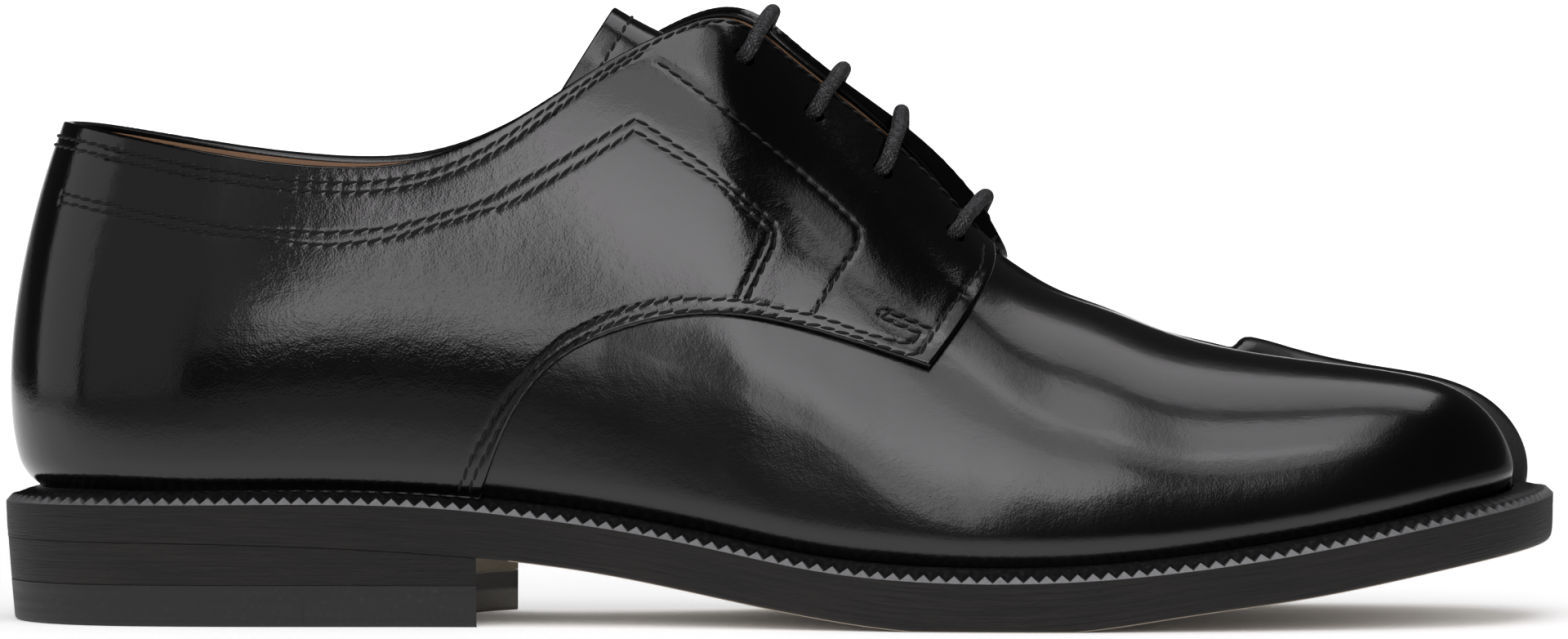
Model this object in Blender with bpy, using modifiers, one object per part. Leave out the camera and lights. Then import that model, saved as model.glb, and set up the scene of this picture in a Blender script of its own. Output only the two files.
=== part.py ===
"""Tabi derby, a right shoe: a hollow lasted upper with a split toe on a welted leather sole.

Tables and sizes are in millimetres and the model is in metres. +X is the toe, +Y the inner
(medial) side of the foot, +Z up, and the floor is z = 0 under the middle of the sole.
"""
import math

import bmesh
import bpy
import numpy as np
from mathutils import Vector

MM = 0.001

# Driving sizes
SHOE_LENGTH = 300.0
BALL_WIDTH = 104.0
FACING_HEIGHT = 118.4
DRAWN_SIZE = np.array((300.0, 104.0, 121.0))
STRETCH = np.array((SHOE_LENGTH, BALL_WIDTH, FACING_HEIGHT)) / DRAWN_SIZE

# Leather thicknesses and clearances
UPPER_WALL = 1.8
QUARTER_WALL = 1.4
TONGUE_WALL = 2.0
WELT_THICKNESS = 3.2
WELT_WIDTH = 7.6
TOP_LIFT_HEIGHT = 8.1
INSOLE_STAND = 2.0
LACE_DIAMETER = 2.6
EYELET_DIAMETER = 3.8
MEET_GAP = 0.3
OVERLAY_GAP = 0.5
SHARP_ANGLE = 40.0

LATERAL = -1
MEDIAL = 1

# The upper's sections, a row for each, from the heel back to the tip of each toe lobe.
# along: distance along the shoe that names the section; foot: where the section stands on the
# welt; top: its upper end, at the collar, the facing edge or the crest; belly and rise: the lower
# handle's reach outwards and up; shoulder and drop: the upper handle's reach outwards and down;
# turn: which way outwards is at the foot, from -90 (heel back) through 0 (side) to 90 (toe tip)
SECTION_COLUMNS = ("along", "foot_x", "foot_out", "top_x", "top_out", "top_z",
                   "belly", "rise", "shoulder", "drop", "turn")
LATERAL_SECTIONS = (
    (0.0, -142.4, 0.0, -137.0, 0.0, 97.6, 9.4, 14.0, 9.0, 24.0, -90.0),
    (20.0, -136.8, 17.4, -132.4, 12.4, 96.6, 8.0, 14.5, 8.5, 24.0, -52.0),
    (41.0, -120.0, 27.0, -118.0, 21.4, 93.4, 5.2, 16.0, 7.5, 24.0, -14.0),
    (66.0, -96.0, 29.4, -95.0, 25.8, 89.6, 4.0, 17.0, 6.5, 24.0, -1.0),
    (91.0, -71.0, 30.0, -71.0, 26.4, 89.8, 3.6, 18.0, 6.5, 25.0, 0.0),
    (115.0, -47.0, 31.6, -50.0, 24.4, 98.5, 3.8, 20.0, 8.5, 27.0, 0.0),
    (136.0, -27.0, 34.8, -31.0, 18.4, 110.4, 3.8, 24.0, 13.0, 24.0, 0.0),
    (148.0, -15.0, 37.2, -19.5, 12.6, 115.7, 3.6, 27.0, 16.5, 20.0, 0.0),
    (156.0, -7.0, 39.0, -12.0, 8.4, 117.3, 3.5, 28.0, 19.0, 18.0, 0.0),
    (163.0, 0.0, 40.4, -6.0, 5.6, 115.0, 3.4, 28.0, 20.0, 17.0, 0.0),
    (171.0, 8.0, 41.9, 1.5, 4.4, 109.0, 3.2, 28.0, 20.5, 16.5, 0.0),
    (183.0, 20.0, 44.0, 14.0, 4.2, 98.8, 3.0, 27.0, 21.0, 15.5, 0.0),
    (195.0, 32.0, 45.8, 28.0, 4.0, 86.0, 2.8, 26.0, 21.5, 13.0, 0.0),
    (207.0, 43.0, 46.9, 41.0, 3.8, 71.6, 2.6, 25.0, 22.0, 9.0, 0.0),
    (216.0, 52.0, 47.3, 51.0, 3.6, 65.2, 2.5, 24.5, 22.5, 5.0, 0.0),
    (226.0, 62.0, 47.2, 62.0, 3.2, 61.2, 2.5, 24.0, 22.5, 2.5, 0.0),
    (240.0, 76.0, 46.0, 76.0, 3.0, 56.0, 2.4, 21.0, 21.0, 1.0, 0.0),
    (252.0, 88.0, 44.1, 88.0, 5.5, 53.1, 2.4, 19.0, 19.0, 0.5, 3.0),
    (268.0, 105.0, 40.9, 105.0, 10.5, 50.7, 2.3, 15.5, 16.5, 0.3, 14.0),
    (283.0, 119.5, 35.6, 119.5, 13.0, 48.6, 2.3, 13.0, 13.5, 0.2, 27.0),
    (294.0, 129.0, 29.0, 129.5, 12.5, 45.5, 2.3, 10.5, 10.5, 0.0, 40.0),
    (302.0, 135.4, 22.2, 136.0, 11.0, 40.4, 2.2, 8.0, 7.0, 0.0, 54.0),
    (308.0, 138.6, 16.4, 139.4, 9.4, 35.0, 1.9, 5.5, 4.2, 0.0, 68.0),
    (313.5, 140.0, 11.4, 140.7, 8.2, 29.6, 1.2, 2.8, 2.0, 0.0, 80.0),
    (318.5, 140.4, 7.6, 140.4, 7.6, 24.7, 0.0, 0.0, 0.0, 0.0, 90.0),
)
MEDIAL_SECTIONS = (
    (0.0, -142.4, 0.0, -137.0, 0.0, 97.6, 9.4, 14.0, 9.0, 24.0, -90.0),
    (20.0, -136.8, 17.4, -132.4, 12.4, 96.6, 8.0, 14.5, 8.5, 24.0, -52.0),
    (41.0, -120.0, 27.0, -118.0, 21.4, 93.6, 5.2, 16.0, 7.5, 24.0, -14.0),
    (66.0, -96.0, 28.2, -95.0, 25.8, 90.2, 4.2, 17.0, 6.5, 24.0, 0.0),
    (91.0, -71.0, 27.2, -71.0, 26.6, 90.4, 5.0, 18.0, 6.0, 25.0, 0.0),
    (115.0, -47.0, 26.8, -50.0, 25.2, 98.9, 6.5, 20.0, 7.5, 27.0, 0.0),
    (136.0, -27.0, 27.8, -31.0, 20.2, 111.4, 7.5, 24.0, 11.0, 24.0, 0.0),
    (148.0, -15.0, 29.0, -19.5, 15.0, 117.9, 8.0, 27.0, 14.0, 20.0, 0.0),
    (156.0, -7.0, 30.4, -11.5, 11.2, 120.0, 8.0, 28.0, 16.0, 18.0, 0.0),
    (163.0, 0.0, 31.9, -5.0, 8.6, 118.2, 7.5, 28.0, 17.5, 17.0, 0.0),
    (171.0, 8.0, 33.9, 2.5, 7.4, 112.2, 7.0, 28.0, 18.0, 16.0, 0.0),
    (183.0, 20.0, 37.6, 15.0, 7.2, 102.0, 6.0, 27.0, 19.0, 15.0, 0.0),
    (195.0, 32.0, 41.3, 29.0, 7.0, 88.6, 5.0, 26.0, 20.0, 12.0, 0.0),
    (207.0, 43.0, 44.2, 41.5, 6.8, 73.0, 4.0, 25.0, 21.0, 8.0, 0.0),
    (216.0, 52.0, 45.6, 52.0, 8.2, 65.7, 3.5, 24.0, 21.0, 4.5, 0.0),
    (226.0, 62.0, 46.4, 62.0, 10.5, 61.5, 3.2, 23.0, 20.0, 2.0, 0.0),
    (240.0, 76.0, 46.6, 76.0, 14.8, 56.4, 2.8, 20.0, 17.5, 0.8, 0.0),
    (252.0, 88.0, 46.3, 89.0, 19.2, 54.9, 2.5, 18.0, 15.0, 0.5, 2.0),
    (268.0, 105.0, 44.8, 105.0, 24.0, 51.4, 2.4, 15.5, 12.5, 0.3, 6.0),
    (283.0, 120.5, 41.8, 120.5, 25.8, 48.6, 2.3, 13.0, 10.8, 0.2, 13.0),
    (294.0, 132.0, 37.6, 132.0, 25.6, 46.0, 2.3, 10.5, 8.6, 0.0, 28.0),
    (302.0, 139.8, 32.4, 140.0, 24.8, 41.6, 2.2, 8.0, 5.8, 0.0, 46.0),
    (308.0, 143.8, 28.2, 144.4, 23.8, 36.2, 1.9, 5.5, 3.6, 0.0, 64.0),
    (313.5, 145.5, 24.8, 146.2, 22.8, 30.6, 1.2, 2.8, 1.6, 0.0, 80.0),
    (318.5, 146.0, 22.2, 146.0, 22.2, 25.7, 0.0, 0.0, 0.0, 0.0, 90.0),
)

# The line between the two sides: over the vamp it is the ridge, then it falls into the cleft,
# and past the split each lobe has its own inner foot on the welt.
# belly and climb: the handle's reach into the cleft and up; turn: which way the inner wall faces
# Columns: along, x, y, z, belly, climb, turn
VALLEY = (
    (207.0, 42.0, 1.6, 72.2, -3.0, 0.0, 0.0),
    (216.0, 51.8, 2.8, 65.8, -3.2, 0.0, 0.0),
    (226.0, 62.0, 4.4, 61.7, -3.4, 0.0, 0.0),
    (240.0, 76.0, 7.6, 56.0, -3.4, 0.0, 0.0),
    (247.0, 83.0, 9.4, 52.6, -3.0, 0.4, 0.0),
    (252.0, 88.0, 10.5, 48.4, -1.8, 3.0, 0.0),
    (256.0, 92.0, 11.0, 43.0, -0.9, 6.0, 0.0),
    (261.0, 97.5, 11.3, 36.0, -0.6, 9.0, 0.0),
    (268.0, 105.0, 11.4, 30.0, -0.5, 11.0, 0.0),
    (276.0, 113.0, 11.4, 26.0, -0.5, 12.0, 0.0),
    (283.0, 120.0, 11.4, 23.4, -0.5, 12.0, 0.0),
)
LATERAL_MOUTH = (
    (289.0, 126.0, 11.4, 22.0, -0.3, 11.0, 0.0),
    (294.0, 130.2, 10.5, 22.8, 0.4, 9.0, 20.0),
    (302.0, 135.8, 6.4, 23.8, 1.2, 7.0, 42.0),
    (308.0, 138.6, 1.2, 24.3, 1.4, 4.8, 62.0),
    (313.5, 140.0, -3.8, 24.6, 1.0, 2.6, 76.0),
    (318.5, 140.4, -7.6, 24.7, 0.0, 0.0, 90.0),
)
MEDIAL_MOUTH = (
    (289.0, 126.0, 11.4, 22.0, -0.3, 11.0, 0.0),
    (294.0, 131.6, 12.3, 22.9, 0.3, 9.0, 14.0),
    (302.0, 139.8, 14.6, 24.5, 1.0, 7.0, 34.0),
    (308.0, 143.8, 17.2, 25.2, 1.2, 4.8, 56.0),
    (313.5, 145.5, 19.8, 25.6, 0.8, 2.6, 76.0),
    (318.5, 146.0, 22.2, 25.7, 0.0, 0.0, 90.0),
)
THROAT_ALONG = 207.0
SPLIT_ALONG = 289.0
TIP_ALONG = 318.5
CREST_REACH = 0.55

# How many sections the upper's mesh has in each span along the shoe: close together at the heel,
# the facing top and the toe tips. Columns: start, end, count
UPPER_SPANS = (
    (0.0, 66.0, 7), (66.0, 136.0, 7), (136.0, 171.0, 6), (171.0, THROAT_ALONG, 4),
    (THROAT_ALONG, 247.0, 5), (247.0, 268.0, 4), (268.0, SPLIT_ALONG, 3), (SPLIT_ALONG, TIP_ALONG, 7),
)
OUTER_ROWS = 11
INNER_ROWS = 7

# The sole seen from the side: its lower face and the top of the welt (below 0 is cut flat)
# Columns: x, low, top
SOLE_LINES = (
    (-150.0, 16.4, 24.8),
    (-105.0, 16.0, 25.1),
    (-62.0, 13.8, 24.2),
    (-48.0, 12.4, 22.7),
    (-34.0, 10.4, 20.8),
    (-12.0, 6.0, 16.7),
    (5.0, 2.6, 13.2),
    (20.0, 0.4, 11.4),
    (40.0, -0.6, 10.7),
    (58.0, 0.3, 11.3),
    (75.0, 2.8, 12.9),
    (100.0, 6.4, 16.6),
    (125.0, 11.2, 21.4),
    (150.0, 15.8, 26.0),
)

# The sole seen from below, from the heel back along the outer side to the toe and back
# Columns: x, y
OUTLINE = (
    (-150.0, 0.0), (-145.6, -16.5), (-133.5, -28.4), (-115.0, -33.2), (-90.0, -34.2),
    (-60.0, -34.8), (-30.0, -38.4), (0.0, -45.0), (28.0, -50.4), (52.0, -52.0),
    (78.0, -50.8), (104.0, -46.2), (125.0, -38.0), (139.3, -26.0), (147.4, -9.0),
    (150.0, 9.0), (148.8, 24.0), (141.4, 36.8), (124.5, 45.8), (101.0, 50.6),
    (78.0, 52.0), (52.0, 50.6), (28.0, 45.2), (0.0, 36.0), (-30.0, 31.4),
    (-60.0, 31.4), (-90.0, 32.8), (-115.0, 32.8), (-133.5, 28.4), (-145.6, 16.5),
)
OUTLINE_STATIONS = 84
HEEL_STATIONS = 30
BREAST_LATERAL = -58.0
BREAST_MEDIAL = -52.0
BREAST_HOLLOW = 8.0
BREAST_STATIONS = 9
BREAST_STRIPS = 2
HEEL_INSET_TOP = 0.6
HEEL_BEVEL = 0.4
HEEL_INSET_FLOOR = 1.6

# The outsole's edge from its lower face up. Columns: inset from the outline, height
OUTSOLE_EDGE = ((1.2, 0.0), (0.5, 0.7), (0.3, 3.0))
OUTSOLE_TOP_INSET = 0.4
WELT_BEVEL_WIDTH = 0.9
WELT_BEVEL_HEIGHT = 1.2

# The quarter's lower edge on the outer side, seen from the side, from the welt to the facing tip
# Columns: x, z
QUARTER_EDGE = (
    (-58.2, 22.0), (-53.1, 36.9), (-47.6, 46.6), (-37.5, 54.8), (-27.4, 58.5),
    (-14.0, 60.5), (4.1, 57.7), (28.4, 49.8),
)
QUARTER_FOOT_SHARE = 0.012
QUARTER_LOW_END = 190.0
QUARTER_TOP_END = 206.0
QUARTER_FRONT_BOW = 3.0
QUARTER_BACK_GAP = 0.25
QUARTER_ROWS = 10
# The quarter's mesh in spans of the way from the heel to the front edge. Columns: start, end, count
QUARTER_SPANS = ((0.0, 0.34, 9), (0.34, 0.54, 5), (0.54, 0.66, 5), (0.66, 0.84, 7), (0.84, 1.0, 5))

# The insole, and the slot in it for the walls of the toe cleft, seen from above
# Columns: x, y
INSOLE_CLEARANCE = 2.4
INSOLE_TOE_START = 105.0
INSOLE_TOE_INSET = 2.6
SLOT_HEIGHT = 40.0
INSOLE_SLOT = (
    (99.0, 7.4), (126.0, 6.8), (132.0, 2.8), (136.0, -4.0), (138.0, -14.0), (165.0, -14.0),
    (165.0, 27.0), (140.5, 27.0), (136.0, 18.4), (129.0, 16.0), (99.0, 15.4),
)

# Eyelets. Columns: the section each stands on, how far inside the facing edge
EYELETS = ((160.4, 9.0), (174.6, 10.6), (186.6, 12.0), (198.6, 12.0))
MEDIAL_EYELET_SHIFT = 1.7
EYELET_SIDES = 10
EYELET_CUTTER_DEPTH = 12.0

# The lace from an eyelet to the facing edge, leaning forward by LACE_LEAN on the way.
# Columns: share of the way, lift from where it lies on the quarter
LACE_WAY = ((0.0, -4.1), (0.0, -2.3), (0.06, -0.4), (0.3, 0.15), (0.65, 0.15), (1.0, 0.0))
LACE_LEAN = 2.9
LACE_CROWN = 0.5
LACE_SECTIONS = 17

# The tongue's middle line and its half width and fall to the edge, a row for each section
# Columns: x, y, z, half_width, fall, roll
TONGUE = (
    (-32.5, 2.0, 120.8, 16.5, 15.0, 0.00),
    (-23.0, 2.0, 115.6, 17.0, 13.0, 0.00),
    (-12.0, 2.0, 111.2, 17.5, 12.5, 0.02),
    (0.0, 1.8, 105.4, 18.0, 12.8, 0.05),
    (14.0, 1.6, 95.6, 18.5, 12.8, 0.06),
    (28.0, 1.6, 83.2, 19.0, 11.0, 0.06),
    (41.0, 1.6, 69.4, 19.0, 7.5, 0.05),
    (50.0, 2.4, 63.5, 17.0, 4.5, 0.02),
)
TONGUE_BEND = 2.2
TONGUE_SECTIONS = 15
TONGUE_POINTS_ACROSS = 9

# Colours read as the finished leather: linear base colour, roughness
BLACK_LEATHER = ((0.012, 0.012, 0.013), 0.22)
BLACK_EDGE = ((0.016, 0.014, 0.013), 0.5)
TAN_LEATHER = ((0.42, 0.26, 0.15), 0.6)
BLACK_RUBBER = ((0.014, 0.013, 0.012), 0.6)
BLACK_CORD = ((0.010, 0.010, 0.011), 0.45)


def clear_scene():
    for old in list(bpy.data.objects):
        bpy.data.objects.remove(old, do_unlink=True)


def spline(knots, rows):
    """A natural cubic spline through a table's rows, as a function of the knot."""
    knots = np.asarray(knots, float)
    rows = np.asarray(rows, float)
    step = np.diff(knots)
    slope = np.diff(rows, axis=0) / step[:, None]
    last = len(knots) - 1
    system = np.eye(last + 1)
    right = np.zeros_like(rows)
    for k in range(1, last):
        system[k, k - 1] = step[k - 1]
        system[k, k] = 2.0 * (step[k - 1] + step[k])
        system[k, k + 1] = step[k]
        right[k] = 6.0 * (slope[k] - slope[k - 1])
    bend = np.linalg.solve(system, right)

    def at(place):
        place = np.clip(np.asarray(place, float), knots[0], knots[-1])
        k = np.clip(np.searchsorted(knots, place, side="right") - 1, 0, last - 1)
        width = step[k][..., None]
        after = (place - knots[k])[..., None] / width
        before = 1.0 - after
        curve = (before ** 3 - before) * bend[k] + (after ** 3 - after) * bend[k + 1]
        return before * rows[k] + after * rows[k + 1] + curve * width ** 2 / 6.0

    return at


def section_spline(table):
    """The section table as a spline that runs on past the heel back as its own mirror image."""
    rows = np.array(table)
    beyond = rows[2:0:-1].copy()
    for name in ("along", "foot_out", "top_out"):
        beyond[:, SECTION_COLUMNS.index(name)] *= -1.0
    turn = SECTION_COLUMNS.index("turn")
    beyond[:, turn] = -180.0 - beyond[:, turn]
    rows = np.vstack((beyond, rows))
    return spline(rows[:, 0], rows[:, 1:])


def table_spline(table):
    rows = np.array(table)
    return spline(rows[:, 0], rows[:, 1:])


SECTIONS = {LATERAL: section_spline(LATERAL_SECTIONS), MEDIAL: section_spline(MEDIAL_SECTIONS)}
VALLEYS = {LATERAL: table_spline(VALLEY + LATERAL_MOUTH), MEDIAL: table_spline(VALLEY + MEDIAL_MOUTH)}
SOLE_SIDE = table_spline(SOLE_LINES)
QUARTER_LINE = table_spline(QUARTER_EDGE)
TONGUE_LINE = table_spline([(k,) + row for k, row in enumerate(TONGUE)])


def sole_low(x):
    return np.maximum(SOLE_SIDE(x)[..., 0], 0.0)


def welt_top(x):
    return SOLE_SIDE(x)[..., 1]


def bezier(start, handle_a, handle_b, end, share):
    share = np.asarray(share)[..., None]
    rest = 1.0 - share
    return (rest ** 3 * start + 3.0 * rest ** 2 * share * handle_a
            + 3.0 * rest * share ** 2 * handle_b + share ** 3 * end)


def points(x, y, z):
    return np.stack(np.broadcast_arrays(x, y, z), axis=-1).astype(float)


def outer_skin(side, along, share):
    """The upper from its foot on the welt (share 0) to the collar, facing edge or crest (1)."""
    (foot_x, foot_out, top_x, top_out, top_z, belly, rise,
     shoulder, drop, turn) = np.moveaxis(SECTIONS[side](along), -1, 0)
    foot = points(foot_x, side * foot_out, welt_top(foot_x) + MEET_GAP)
    top = points(top_x, side * top_out, top_z)
    angle = np.radians(turn)
    top_angle = np.minimum(angle, 0.0)
    low_handle = foot + points(np.sin(angle) * belly, side * np.cos(angle) * belly, rise)
    high_handle = top + points(np.sin(top_angle) * shoulder, side * np.cos(top_angle) * shoulder, -drop)
    return bezier(foot, low_handle, high_handle, top, share)


def valley_line(side, along):
    """The ridge and cleft line: one for both sides up to the split, then one for each lobe."""
    own = VALLEYS[side](along)
    both = 0.5 * (VALLEYS[LATERAL](along) + VALLEYS[MEDIAL](along))
    joined = (np.asarray(along) <= SPLIT_ALONG)[..., None]
    return np.where(joined, both, own)


def inner_skin(side, along, share):
    """The upper from its crest (share 0) to the ridge line or down the cleft wall (1)."""
    crest = outer_skin(side, along, np.ones_like(np.asarray(along, float)))
    x, y, z, belly, climb, turn = np.moveaxis(valley_line(side, along), -1, 0)
    z = np.maximum(z, welt_top(x) + MEET_GAP)
    valley = points(x, y, z)
    angle = np.radians(turn)
    near = crest + points(0.0, (y - crest[..., 1]) * CREST_REACH, 0.0)
    far = valley + points(np.sin(angle) * belly, -side * np.cos(angle) * belly, climb)
    return bezier(crest, near, far, valley, share)


def lifted(surface, side, along, share, lift):
    """A point on a skin, moved along the skin's outward normal."""
    along = np.asarray(along, float)
    share = np.asarray(share, float)
    small = 1e-3
    ahead = surface(side, along + small, share) - surface(side, along - small, share)
    upward = surface(side, along, share + small) - surface(side, along, share - small)
    normal = np.cross(ahead, upward) * -side
    normal /= np.linalg.norm(normal, axis=-1, keepdims=True)
    return surface(side, along, share) + normal * lift


def share_below_edge(side, along, distance):
    """The share at which a section is a given distance, along itself, below its top."""
    shares = np.linspace(1.0, 0.5, 101)
    line = outer_skin(side, np.full_like(shares, along), shares)
    run = np.concatenate(([0.0], np.cumsum(np.linalg.norm(np.diff(line, axis=0), axis=1))))
    return float(np.interp(distance, run, shares))


def share_on_quarter_edge(side, along):
    """The share at which a section meets the quarter's lower edge."""
    shares = np.linspace(0.0, 1.0, 401)
    line = outer_skin(side, np.full_like(shares, along), shares)
    edge = QUARTER_LINE(line[:, 0])[:, 0]
    behind = line[:, 0] < QUARTER_EDGE[0][0]
    above = np.where(behind, 1.0, line[:, 2] - edge)
    if above[0] >= 0.0:
        return QUARTER_FOOT_SHARE
    return max(float(np.interp(0.0, above, shares)), QUARTER_FOOT_SHARE)


def new_object(name, mesh, collection, finish=None):
    thing = bpy.data.objects.new(name, mesh)
    collection.objects.link(thing)
    if finish is not None:
        mesh.materials.append(finish)
    return thing


def leather(name, look):
    colour, roughness = look
    material = bpy.data.materials.new(name)
    material.use_nodes = True
    shader = material.node_tree.nodes["Principled BSDF"]
    shader.inputs["Base Color"].default_value = (*colour, 1.0)
    shader.inputs["Roughness"].default_value = roughness
    shader.inputs["Metallic"].default_value = 0.0
    return material


def add_points(bm, grid):
    """Vertices for an array of points in millimetres, in an array of the same shape."""
    flat = np.asarray(grid).reshape(-1, 3) * STRETCH * MM
    made = np.empty(len(flat), object)
    for k, point in enumerate(flat):
        made[k] = bm.verts.new(point)
    return made.reshape(np.asarray(grid).shape[:-1])


def add_face(bm, corners):
    kept = []
    for corner in corners:
        if corner not in kept:
            kept.append(corner)
    if len(kept) > 2:
        bm.faces.new(kept)


def add_grid(bm, verts, flip):
    """Quads over a grid of vertices; flip turns them to face the other way."""
    rows, columns = verts.shape
    for i in range(rows - 1):
        for j in range(columns - 1):
            corners = [verts[i, j], verts[i + 1, j], verts[i + 1, j + 1], verts[i, j + 1]]
            add_face(bm, corners[::-1] if flip else corners)


def finish_mesh(bm, name, weld=1e-6):
    bmesh.ops.remove_doubles(bm, verts=bm.verts, dist=weld)
    bmesh.ops.dissolve_degenerate(bm, edges=bm.edges, dist=1e-7)
    mesh = bpy.data.meshes.new(name)
    bm.to_mesh(mesh)
    bm.free()
    mesh.shade_smooth()
    mesh.set_sharp_from_angle(angle=math.radians(SHARP_ANGLE))
    return mesh


def solidify(thing, thickness, offset):
    """Give an open surface its wall, inwards (-1) or outwards (1)."""
    wall = thing.modifiers.new("wall", "SOLIDIFY")
    wall.thickness = thickness * MM
    wall.offset = offset
    wall.use_even_offset = False
    return wall


def stations(spans):
    """Places along a piece, evenly spread in each of its spans."""
    places = [0.0]
    for start, end, count in spans:
        places += list(np.linspace(start, end, count + 1)[1:])
    return np.array(places)


def make_upper(collection, finish):
    bm = bmesh.new()
    whole = stations(UPPER_SPANS)
    front = whole[whole >= THROAT_ALONG - 1e-6]
    for side in (LATERAL, MEDIAL):
        for surface, places, rows in ((outer_skin, whole, OUTER_ROWS), (inner_skin, front, INNER_ROWS)):
            along, share = np.meshgrid(places, np.linspace(0.0, 1.0, rows), indexing="ij")
            grid = surface(side, along, share)
            grid[-1] = outer_skin(side, np.array(TIP_ALONG), np.array(0.0))
            add_grid(bm, add_points(bm, grid), flip=side == MEDIAL)
    thing = new_object("upper", finish_mesh(bm, "upper", weld=2e-5), collection, finish)
    solidify(thing, UPPER_WALL, -1.0)
    return thing


def quarter_place(side, forward, up):
    """Section and share of a point on a quarter: forward runs heel to front edge, up runs
    from the lower edge to the collar and facing edge."""
    low_along = QUARTER_BACK_GAP + (QUARTER_LOW_END - QUARTER_BACK_GAP) * forward
    top_along = QUARTER_BACK_GAP + (QUARTER_TOP_END - QUARTER_BACK_GAP) * forward
    low_share = share_on_quarter_edge(side, low_along)
    bow = QUARTER_FRONT_BOW * 4.0 * up * (1.0 - up) * forward ** 6
    return low_along + (top_along - low_along) * up + bow, low_share + (1.0 - low_share) * up


def make_quarter(name, side, collection, finish):
    rows = np.linspace(0.0, 1.0, QUARTER_ROWS)
    places = np.array([[quarter_place(side, forward, up) for up in rows]
                       for forward in stations(QUARTER_SPANS)])
    bm = bmesh.new()
    grid = lifted(outer_skin, side, places[..., 0], places[..., 1], OVERLAY_GAP)
    add_grid(bm, add_points(bm, grid), flip=side == MEDIAL)
    thing = new_object(name, finish_mesh(bm, name), collection, finish)
    solidify(thing, QUARTER_WALL, 1.0)
    return thing


def eyelet(side, number):
    """The section and share of an eyelet, counted from the top."""
    along, inset = EYELETS[number]
    if side == MEDIAL:
        along += MEDIAL_EYELET_SHIFT
    return along, share_below_edge(side, along, inset)


def make_eyelet_cutters(cutters):
    made = {LATERAL: [], MEDIAL: []}
    for side in (LATERAL, MEDIAL):
        for number in range(len(EYELETS)):
            along, share = eyelet(side, number)
            centre = lifted(outer_skin, side, along, share, 0.0)
            axis = lifted(outer_skin, side, along, share, 1.0) - centre
            bm = bmesh.new()
            radius = 0.5 * EYELET_DIAMETER * MM
            bmesh.ops.create_cone(bm, cap_ends=True, segments=EYELET_SIDES, radius1=radius,
                                  radius2=radius, depth=EYELET_CUTTER_DEPTH * MM)
            mesh = bpy.data.meshes.new("eyelet_cutter")
            bm.to_mesh(mesh)
            bm.free()
            cutter = new_object("eyelet_cutter", mesh, cutters)
            cutter.hide_render = True
            cutter.display_type = "WIRE"
            cutter.location = centre * STRETCH * MM
            cutter.rotation_mode = "QUATERNION"
            cutter.rotation_quaternion = Vector(axis).to_track_quat("Z", "Y")
            made[side].append(cutter)
    return made


def cut(thing, cutters):
    for cutter in cutters:
        hole = thing.modifiers.new("hole", "BOOLEAN")
        hole.operation = "DIFFERENCE"
        hole.solver = "EXACT"
        hole.object = cutter


def make_tongue(collection, finish):
    """A sheet bent across its middle line, each section square to that line."""
    across = np.linspace(-1.0, 1.0, TONGUE_POINTS_ACROSS)
    places = np.linspace(0.0, len(TONGUE) - 1.0, TONGUE_SECTIONS)
    rows = TONGUE_LINE(places)
    ahead = np.gradient(rows[:, (0, 2)], axis=0)
    ahead /= np.linalg.norm(ahead, axis=1, keepdims=True)
    grid = np.zeros((TONGUE_SECTIONS, TONGUE_POINTS_ACROSS, 3))
    for k, (x, y, z, half_width, fall, roll) in enumerate(rows):
        sink = fall * np.abs(across) ** TONGUE_BEND - roll * half_width * across
        grid[k, :, 0] = x + ahead[k, 1] * sink
        grid[k, :, 1] = y + half_width * across
        grid[k, :, 2] = z - ahead[k, 0] * sink
    bm = bmesh.new()
    add_grid(bm, add_points(bm, grid), flip=False)
    thing = new_object("tongue", finish_mesh(bm, "tongue"), collection, finish)
    solidify(thing, TONGUE_WALL, -1.0)
    return thing


def outline_curve():
    """The sole's outline as a closed spline of the share of the way round."""
    ring = np.array(OUTLINE)
    wrap = 4
    rows = np.vstack((ring[-wrap:], ring, ring[:wrap + 1]))
    run = np.concatenate(([0.0], np.cumsum(np.linalg.norm(np.diff(rows, axis=0), axis=1))))
    start = run[wrap]
    length = run[wrap + len(ring)] - start
    return spline((run - start) / length, rows)


OUTLINE_AT = outline_curve()


def outline_toe():
    """The share of the way round at which the outline is furthest forward."""
    shares = np.linspace(0.3, 0.7, 2001)
    return float(shares[np.argmax(OUTLINE_AT(shares)[:, 0])])


def outline_shares():
    """Shares round the outline, the same number on each side between heel back and toe."""
    half = OUTLINE_STATIONS // 2
    toe = outline_toe()
    outer = np.linspace(0.0, toe, half + 1)
    inner = np.linspace(toe, 1.0, half + 1)
    return np.concatenate((outer[:-1], inner[:-1]))


def outline_points(shares, inset):
    small = 1e-4
    place = OUTLINE_AT(shares)
    ahead = OUTLINE_AT(shares + small) - OUTLINE_AT(shares - small)
    ahead /= np.linalg.norm(ahead, axis=1, keepdims=True)
    inward = np.stack((-ahead[:, 1], ahead[:, 0]), axis=1)
    return place + np.broadcast_to(inset, np.shape(shares))[:, None] * inward


def ring(shares, inset, height):
    """A ring of points on the outline, moved in by inset, at the height that x gives."""
    flat = outline_points(shares, inset)
    return points(flat[:, 0], flat[:, 1], height(flat[:, 0]))


def cap_closed(bm, verts, flip):
    """Close a ring that starts at the heel back with strips from side to side."""
    count = len(verts)
    for k in range(count // 2):
        corners = [verts[k], verts[k + 1], verts[(count - k - 1) % count], verts[(count - k) % count]]
        add_face(bm, corners[::-1] if flip else corners)


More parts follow.
